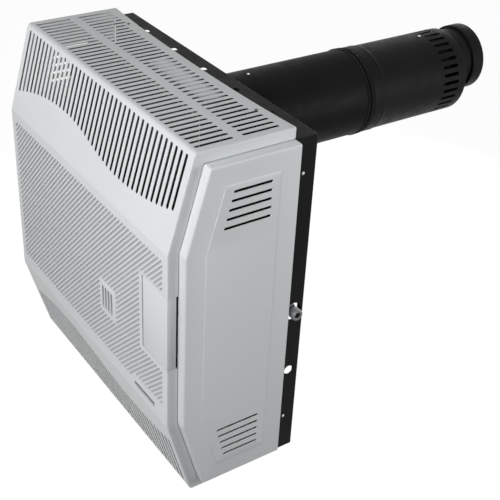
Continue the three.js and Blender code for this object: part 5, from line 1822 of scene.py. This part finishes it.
@dataclass
class Refined:
    """A closer copy of a solid, with small edge rounds."""

    node: str
    body: Body
    width: float
    segments: int = 2

    def build(self) -> None:
        """Copy the solid, weld it, round its edges and dress it."""
        piece = copied(self.node, "_finished")
        flatten(piece.data)
        bevel = piece.modifiers.new("edges", "BEVEL")
        bevel.width = self.width
        bevel.segments = self.segments
        bevel.limit_method = "ANGLE"
        bevel.angle_limit = math.radians(32)
        bevel.use_clamp_overlap = True
        settle(piece)
        shade(piece)
        finish_piece(piece, self.body, FINISHES[slot_of(self.node)], self.node)


@dataclass
class SmoothTube:
    """A tube or lead made round from its faceted solid.

    One step of the surface's subdivision draws a ring of n points in to (2 + cos(2 pi / n)) / 3 of its radius, so
    the ring is first moved out along its normals by that share.
    """

    node: str
    radius: float
    sides: int
    end_angle: float = math.radians(75)

    def build(self) -> None:
        """Copy the solid, widen it, subdivide it and dress it."""
        piece = copied(self.node, "_round")
        grow = self.radius * (3 / (2 + math.cos(2 * math.pi / self.sides)) - 1)
        with edited(piece.data) as work:
            work.normal_update()
            for vertex in work.verts:
                if all(abs(edge.calc_face_angle(0)) <= self.end_angle for edge in vertex.link_edges):
                    vertex.co += vertex.normal * grow
            bmesh.ops.join_triangles(work, faces=work.faces, angle_face_threshold=0.6, angle_shape_threshold=0.9)
        rounding = piece.modifiers.new("round", "SUBSURF")
        rounding.levels = rounding.render_levels = 1
        settle(piece)
        shade(piece, math.radians(60))
        finish_piece(piece, Body.HEATER, FINISHES[slot_of(self.node)], self.node)


def flatten(mesh: bpy.types.Mesh) -> None:
    """Join coplanar triangles into larger faces.

    Args:
        mesh: The welded mesh.
    """
    with edited(mesh) as work:
        bmesh.ops.dissolve_limit(
            work, angle_limit=math.radians(0.5), use_dissolve_boundaries=False, verts=work.verts, edges=work.edges
        )


def slot_of(node: str) -> str:
    """Return the record's material slot of a node."""
    return next(part["material_slot"] for part in frame["record"]["subparts"] if part["node"] == node)


# ---------------------------------------------------------------- small parts


@dataclass
class Screw:
    """A round-headed screw with a cross recess, along any axis.

    The recess's half width and reach and the shank's radius are shares of the head's radius. The axis stands half
    the screw's length beside its solid's middle on each of the other two axes.
    """

    node: str
    axis: Point
    head_height: float = 2 * MM
    recess: float = 0.7 * MM
    recess_width: float = 0.17
    recess_reach: float = 0.62
    recess_slope: Flat = (0.06, 0.1)
    shank: float = 0.57
    dome: float = 0.92
    segments: int = 48
    finish: Finish = STAINLESS

    def build(self) -> None:
        """Build the head as a dome with its recess, and the shank.

        Height over the head: h sqrt(1 - dome (r / R)^2), less the recess where |u| or |v| is under its width.
        """
        low, high = box_of(self.node)
        axis = np.array(self.axis)
        size = high - low
        tip = (low + high) / 2 + axis * size @ np.abs(axis) / 2
        length = float(size @ np.abs(axis)) - self.head_height
        radius = float(size[np.abs(axis) < 0.5].max()) / 2
        share = np.linspace(0, 1, 14)[:, None]
        angle = np.linspace(0, 2 * np.pi, self.segments, endpoint=False)
        u, v = radius * share * np.cos(angle), radius * share * np.sin(angle)
        arm = np.minimum(np.abs(u), np.abs(v)) / radius
        cut = np.clip((self.recess_width - arm) / self.recess_slope[0], 0, 1)
        cut = cut * np.clip((self.recess_reach - share) / self.recess_slope[1], 0, 1)
        height = self.head_height * np.sqrt(1 - self.dome * share**2) - self.recess * cut
        shank = self.shank * radius
        tail = [
            np.stack([wide * np.cos(angle), wide * np.sin(angle), np.full(self.segments, z)], -1)[None]
            for wide, z in ((radius, 0.0), (shank, 0.0), (shank, -length), (0.0, -length))
        ]
        grid = np.concatenate([np.stack([u, v, height], -1), *tail])
        side = np.cross(axis, [0, 0, 1.0]) if abs(axis[2]) < 0.9 else np.array([1.0, 0, 0])
        side = side / np.linalg.norm(side)
        frame_of_head = np.stack([side, np.cross(axis, side), axis])
        placed = tip - axis * self.head_height + grid @ frame_of_head
        finish_piece(closed_piece(self.node + "_head", placed), Body.HEATER, self.finish, self.node)


@dataclass
class ControlKnob:
    """The fluted control knob with its grip bar and pointer."""

    x: float = 225 * MM
    z: float = 328 * MM
    rear: float = -211 * MM
    front: float = -231 * MM
    radius: float = 20 * MM
    flutes: int = 30
    flute_depth: float = 0.35 * MM
    grip_half: Flat = (3.3 * MM, 16.5 * MM)
    grip_root: float = 6 * MM
    grip_draw: float = 0.12
    bore: float = 4.3 * MM
    bore_depth: float = 15 * MM
    segments: int = 240

    def build(self) -> None:
        """Build the skirt, the grip bar and the pointer line."""
        finish_piece(self.skirt(), Body.KNOB, DARK_PLASTIC, "control_knob")
        finish_piece(self.grip(), Body.KNOB, DARK_PLASTIC, "control_knob")
        finish_piece(self.pointer(), Body.KNOB, WHITE_MARK)

    def skirt(self) -> bpy.types.Object:
        """Turn the skirt; on its rim the radius is R - depth (1 + cos(flutes a)) / 2.

        Returns:
            The piece.
        """
        r, rear, front = self.radius, self.rear, self.front
        bottom = rear - self.bore_depth + 1 * MM
        profile = [
            (self.bore, bottom), (self.bore, rear), (r - 0.4 * MM, rear), (r, rear - 0.4 * MM),
            (r, rear - 5 * MM), (r - 0.6 * MM, rear - 6 * MM), (r - 2 * MM, rear - 7 * MM),
            (r - 4 * MM, front + 4 * MM), (r - 4.6 * MM, front + 2.4 * MM), (r - 6 * MM, front + 1.5 * MM),
            (r - 9 * MM, front + 1.4 * MM), (0.0, front + 1.4 * MM),
        ]
        fluted = np.array([0, 0, 1, 1, 1, 1, 0.6, 0.6, 0.2, 0, 0, 0])[:, None]
        grid = turned(profile, self.segments)
        angle = np.linspace(0, 2 * np.pi, self.segments, endpoint=False)
        wave = self.flute_depth * (1 + np.cos(self.flutes * angle)) / 2
        outer = np.hypot(grid[..., 0], grid[..., 2])
        scale = np.where(outer > 0, (outer - wave * fluted) / np.maximum(outer, NEAR_ZERO), 1)
        grid[..., [0, 2]] *= scale[..., None]
        skin = Skin()
        for part in (grid, turned([(self.bore, bottom), (0.0, bottom)], self.segments)):
            skin.grid(part + np.array([self.x, 0, self.z]), closed=True)
        return recalculated(skin.piece("knob_skirt"))

    def grip(self) -> bpy.types.Object:
        """Build the grip bar as a rounded block.

        A loop of the bar is the superellipse (a |cos t|^(1/3), b |sin t|^(1/3)) with signs, drawn in towards the
        front by 1 - draw s^4 for s from 0 at the skirt to 1 at the front.

        Returns:
            The piece.
        """
        t = np.linspace(0, 2 * np.pi, 96, endpoint=False)
        a, b = self.grip_half
        ring_x, ring_z = (
            half * np.sign(wave) * np.abs(wave) ** (1 / 3) for half, wave in ((a, np.cos(t)), (b, np.sin(t)))
        )
        s = np.linspace(0, 1, 10)[:, None]
        shrink = 1 - self.grip_draw * s**4
        shrink, s = np.vstack([[0], shrink, [0]]), np.vstack([[0], s, [1]])
        root = self.rear - self.grip_root
        y = np.broadcast_to(root + (self.front - root) * s, (len(s), len(t)))
        return closed_piece("knob_grip", np.stack([self.x + ring_x * shrink, y, self.z + ring_z * shrink], -1))

    def pointer(self) -> bpy.types.Object:
        """Build the pale line let into the grip's upper front.

        Returns:
            The piece.
        """
        skin = Skin()
        xs, zs = np.array([-0.5, 0.5]) * MM + self.x, np.array([6, 15]) * MM + self.z
        flat = np.stack(np.meshgrid(xs, zs, indexing="ij"), -1)
        skin.grid(plane(0, 2, self.front - 0.05 * MM)(flat), TO_ROOM)
        return skin.piece("knob_pointer", 0.1 * MM)


@dataclass
class IgniterButton:
    """The round igniter button with a dished face."""

    dish: float = 0.9 * MM
    edge: float = 1.4 * MM

    def build(self) -> None:
        """Turn the button: a dish y = front + dish (1 - (r / a)^2), a rounded edge and a plain stem."""
        low, high = box_of("piezo_button")
        centre = (low + high) / 2
        radius = (high[0] - low[0]) / 2
        a = radius - self.edge
        share = np.linspace(0, 1, 9)
        face = list(zip((a * share).tolist(), (low[1] + self.dish * (1 - share**2)).tolist()))
        rim = fillet((radius, low[1]), (0, low[1]), (radius, high[1]), self.edge, 6)
        profile = [*face, *rim, (radius, high[1]), (0.0, high[1])]
        grid = turned(profile, 64)
        grid[..., [0, 2]] += centre[[0, 2]]
        finish_piece(closed_piece("button_cap", grid), Body.BUTTON, RED_PLASTIC, "piezo_button")


@dataclass
class GasUnion:
    """The threaded gas fitting in the pan's right flange."""

    y: float = -20 * MM
    z: float = 274 * MM
    tip: float = 281.5 * MM
    rear: float = 253.5 * MM
    radius: float = 9.5 * MM
    bore: float = 5 * MM
    threads: int = 7
    thread_depth: float = 0.7 * MM
    nut_length: float = 9 * MM

    def build(self) -> None:
        """Build the threaded barrel and the hexagon behind it."""
        finish_piece(self.barrel(), Body.HEATER, DULL_ZINC, "gas_inlet_union")
        finish_piece(self.hexagon(), Body.HEATER, DULL_ZINC, "gas_inlet_union")

    def _along_x(self, grid: Array) -> Array:
        """Turn a grid made about Y so that it lies about the fitting's axis."""
        return np.stack([grid[..., 1], self.y + grid[..., 0], self.z + grid[..., 2]], -1)

    def barrel(self) -> bpy.types.Object:
        """Turn the barrel; over the thread the radius is R - depth |2 frac(k s) - 1|.

        Returns:
            The piece.
        """
        s = np.linspace(0, 1, self.threads * 4 + 1)
        start, end = self.tip - 12 * MM, self.tip - 0.8 * MM
        ridge = self.radius - self.thread_depth * np.abs(2 * ((self.threads * s) % 1) - 1)
        thread = list(zip(ridge.tolist(), (start + (end - start) * s).tolist()))
        shank = self.radius - 1.5 * MM
        seat = self.rear + 6 * MM
        profile = [
            (self.bore, seat), (self.bore, self.tip - 0.6 * MM), (self.bore + 0.6 * MM, self.tip),
            (self.radius - 1.2 * MM, self.tip), *thread[::-1], (shank, start), (shank, seat), (self.bore, seat),
        ]
        return closed_piece("union_barrel", self._along_x(turned(profile, 64)))

    def hexagon(self) -> bpy.types.Object:
        """Build the hexagon with chamfered corners, closed at its rear.

        Returns:
            The piece.
        """
        r = self.radius + 1 * MM
        rear, front, chamfer = self.rear, self.rear + self.nut_length, 0.8 * MM
        profile = [
            (0.0, rear), (self.radius, rear), (r, rear + chamfer), (r, front - chamfer), (self.radius, front),
            (0.0, front),
        ]
        return closed_piece("union_hexagon", self._along_x(turned(profile, 6)))


# ---------------------------------------------------------------- studio


@dataclass
class Studio:
    """The camera, the lamps, the floor and the world."""

    camera_place: Point = (1.2635, -0.8184, 1.2006)
    yaw: float = -54.44
    pitch: float = -32.74
    roll: float = 3.12
    lens: float = 73.9
    floor_z: float = -0.85
    floor_size: float = 16.0
    floor_grey: float = 0.09
    floor_glow: float = 0.96
    ambient: float = 0.14

    def build(self) -> None:
        """Set the view transform and build everything round the object."""
        scene = bpy.context.scene
        scene.view_settings.view_transform = "Standard"
        self.camera()
        self.world()
        self.floor()
        for name, place, aim, size, power in (
            ("key", (0.82, -1.58, 1.25), (0, -0.2, 0.3), 0.8, 17.5),
            ("front", (0.35, -1.3, 0.95), (0.05, -0.2, 0.4), 0.6, 5.0),
            ("side", (1.0, 0.75, 0.6), (0.25, 0, 0.4), 0.6, 6.2),
            ("fill", (-2.0, -0.9, 0.5), (0, -0.1, 0.3), 1.2, 5.0),
            ("rear", (-1.0, 2.6, 0.3), (0, 0, 0.3), 1.4, 45.0),
        ):
            self.lamp(name, place, aim, size, power)

    def camera(self) -> None:
        """Place the camera by its yaw, pitch and roll."""
        yaw, pitch, roll = (math.radians(v) for v in (self.yaw, self.pitch, self.roll))
        ahead = Vector((math.sin(yaw) * math.cos(pitch), math.cos(yaw) * math.cos(pitch), math.sin(pitch)))
        right = Vector((math.cos(yaw), -math.sin(yaw), 0))
        up = right.cross(ahead)
        across = right * math.cos(roll) + up * math.sin(roll)
        above = up * math.cos(roll) - right * math.sin(roll)
        turn = Matrix((across, above, -ahead)).transposed()
        data = bpy.data.cameras.new("camera")
        data.lens = self.lens
        data.sensor_width = 36
        data.clip_end = 50
        camera = linked("camera", data)
        camera.matrix_world = Matrix.Translation(self.camera_place) @ turn.to_4x4()
        bpy.context.scene.camera = camera

    def lamp(self, name: str, place: Point, aim: Point, size: float, power: float) -> None:
        """Add a square soft lamp.

        Args:
            name: The lamp's name.
            place: Where it stands.
            aim: The point it faces.
            size: Its side.
            power: Its power in watts.
        """
        data = bpy.data.lights.new(name, "AREA")
        data.size = size
        data.energy = power
        lamp = linked(name, data)
        lamp.location = place
        lamp.visible_camera = False
        lamp.rotation_euler = (Vector(aim) - Vector(place)).to_track_quat("-Z", "Y").to_euler()

    def output(self, tree: Tree, name: str, plain: Socket, seen: Socket) -> None:
        """Show one shader to rays from the camera, a mirror or clear glass, and another to all other rays.

        Args:
            tree: The nodes of the material or of the world.
            name: The output node's name.
            plain: The shader for all other rays.
            seen: The shader for the rays that see it directly.
        """
        path = add_node(tree, "ShaderNodeLightPath").outputs
        direct = add_math(tree, "MAXIMUM", path["Is Camera Ray"], path["Is Glossy Ray"])
        direct = add_math(tree, "MAXIMUM", direct, path["Is Transmission Ray"])
        mix = add_node(tree, "ShaderNodeMixShader", {0: direct, 1: plain, 2: seen})
        feed(tree, tree.nodes[name], {"Surface": mix.outputs[0]})

    def world(self) -> None:
        """Give even soft light, and white where the world itself is seen."""
        world = bpy.data.worlds.new("studio")
        bpy.context.scene.world = world
        world.use_nodes = True
        tree = world.node_tree
        light = tree.nodes["Background"]
        feed(tree, light, {"Color": WHITE, "Strength": self.ambient})
        seen = add_node(tree, "ShaderNodeBackground", {"Color": WHITE, "Strength": 1.0})
        self.output(tree, "World Output", light.outputs[0], seen.outputs[0])

    def floor(self) -> None:
        """Lay a white floor that keeps a faint shadow."""
        half = self.floor_size / 2
        skin = Skin()
        flat = np.stack(np.meshgrid([-half, half], [-half, half], indexing="ij"), -1)
        skin.grid(plane(0, 1, self.floor_z)(flat), np.array([0, 0, 1]))
        floor = skin.piece("floor")
        material = bpy.data.materials.new("floor_white")
        material.use_nodes = True
        tree = material.node_tree
        tree.nodes.remove(tree.nodes["Principled BSDF"])
        grey = (self.floor_grey, self.floor_grey, self.floor_grey, 1.0)
        matt = add_node(tree, "ShaderNodeBsdfDiffuse", {"Color": grey}).outputs[0]
        glow = add_node(tree, "ShaderNodeEmission", {"Strength": self.floor_glow}).outputs[0]
        both = add_node(tree, "ShaderNodeAddShader", {0: matt, 1: glow}).outputs[0]
        self.output(tree, "Material Output", matt, both)
        floor.data.materials.append(material)


def dress_solids() -> None:
    """Give every solid that stays visible the finish of its record slot."""
    for name, node in frame["nodes"].items():
        finish = FINISHES[slot_of(name)]
        if node.data.materials:
            for slot in node.material_slots:
                slot.material = finish.material()
        else:
            node.data.materials.append(finish.material())
        log.info("%s wears %s", name, finish.slot)


def main() -> None:
    """Build the studio and the heater."""
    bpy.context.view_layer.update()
    Studio().build()
    dress_solids()
    casing = Casing()
    parts = [
        casing, SideCover(Side.LEFT, casing), SideCover(Side.RIGHT, casing), WallPan(), Flue(), ControlKnob(),
        IgniterButton(), GasUnion(),
        Refined("control_door", Body.DOOR, 0.45 * MM), Refined("gas_valve_body", Body.HEATER, 1.2 * MM, 3),
        Refined("piezo_body", Body.HEATER, 0.4 * MM), Refined("push_collar", Body.KNOB_SLIDE, 0.4 * MM),
        SmoothTube("gas_inlet_pipe", 6 * MM, 8), SmoothTube("main_gas_pipe", 4 * MM, 8),
        SmoothTube("pilot_gas_pipe", 2 * MM, 6), SmoothTube("thermocouple_lead", 1.6 * MM, 6),
        SmoothTube("ignition_lead", 2.5 * MM, 6), SmoothTube("thermostat_capillary", 1.2 * MM, 6),
        Screw("casing_screw_left", (0, 0, 1), head_height=1.6 * MM, finish=DARK_SCREW),
        Screw("casing_screw_right", (0, 0, 1), head_height=1.6 * MM, finish=DARK_SCREW),
        Screw("duct_screw_inner", (0, 0, 1), head_height=1.8 * MM),
        Screw("duct_screw_outer", (0, 0, 1), head_height=1.8 * MM),
    ]
    for level in ("upper", "lower"):
        for side in Side:
            parts.append(Screw(f"pan_screw_{level}_{side.name.lower()}", (side.value, 0, 0)))
    for part in parts:
        part.build()


if __name__ == "__main__":
    main()
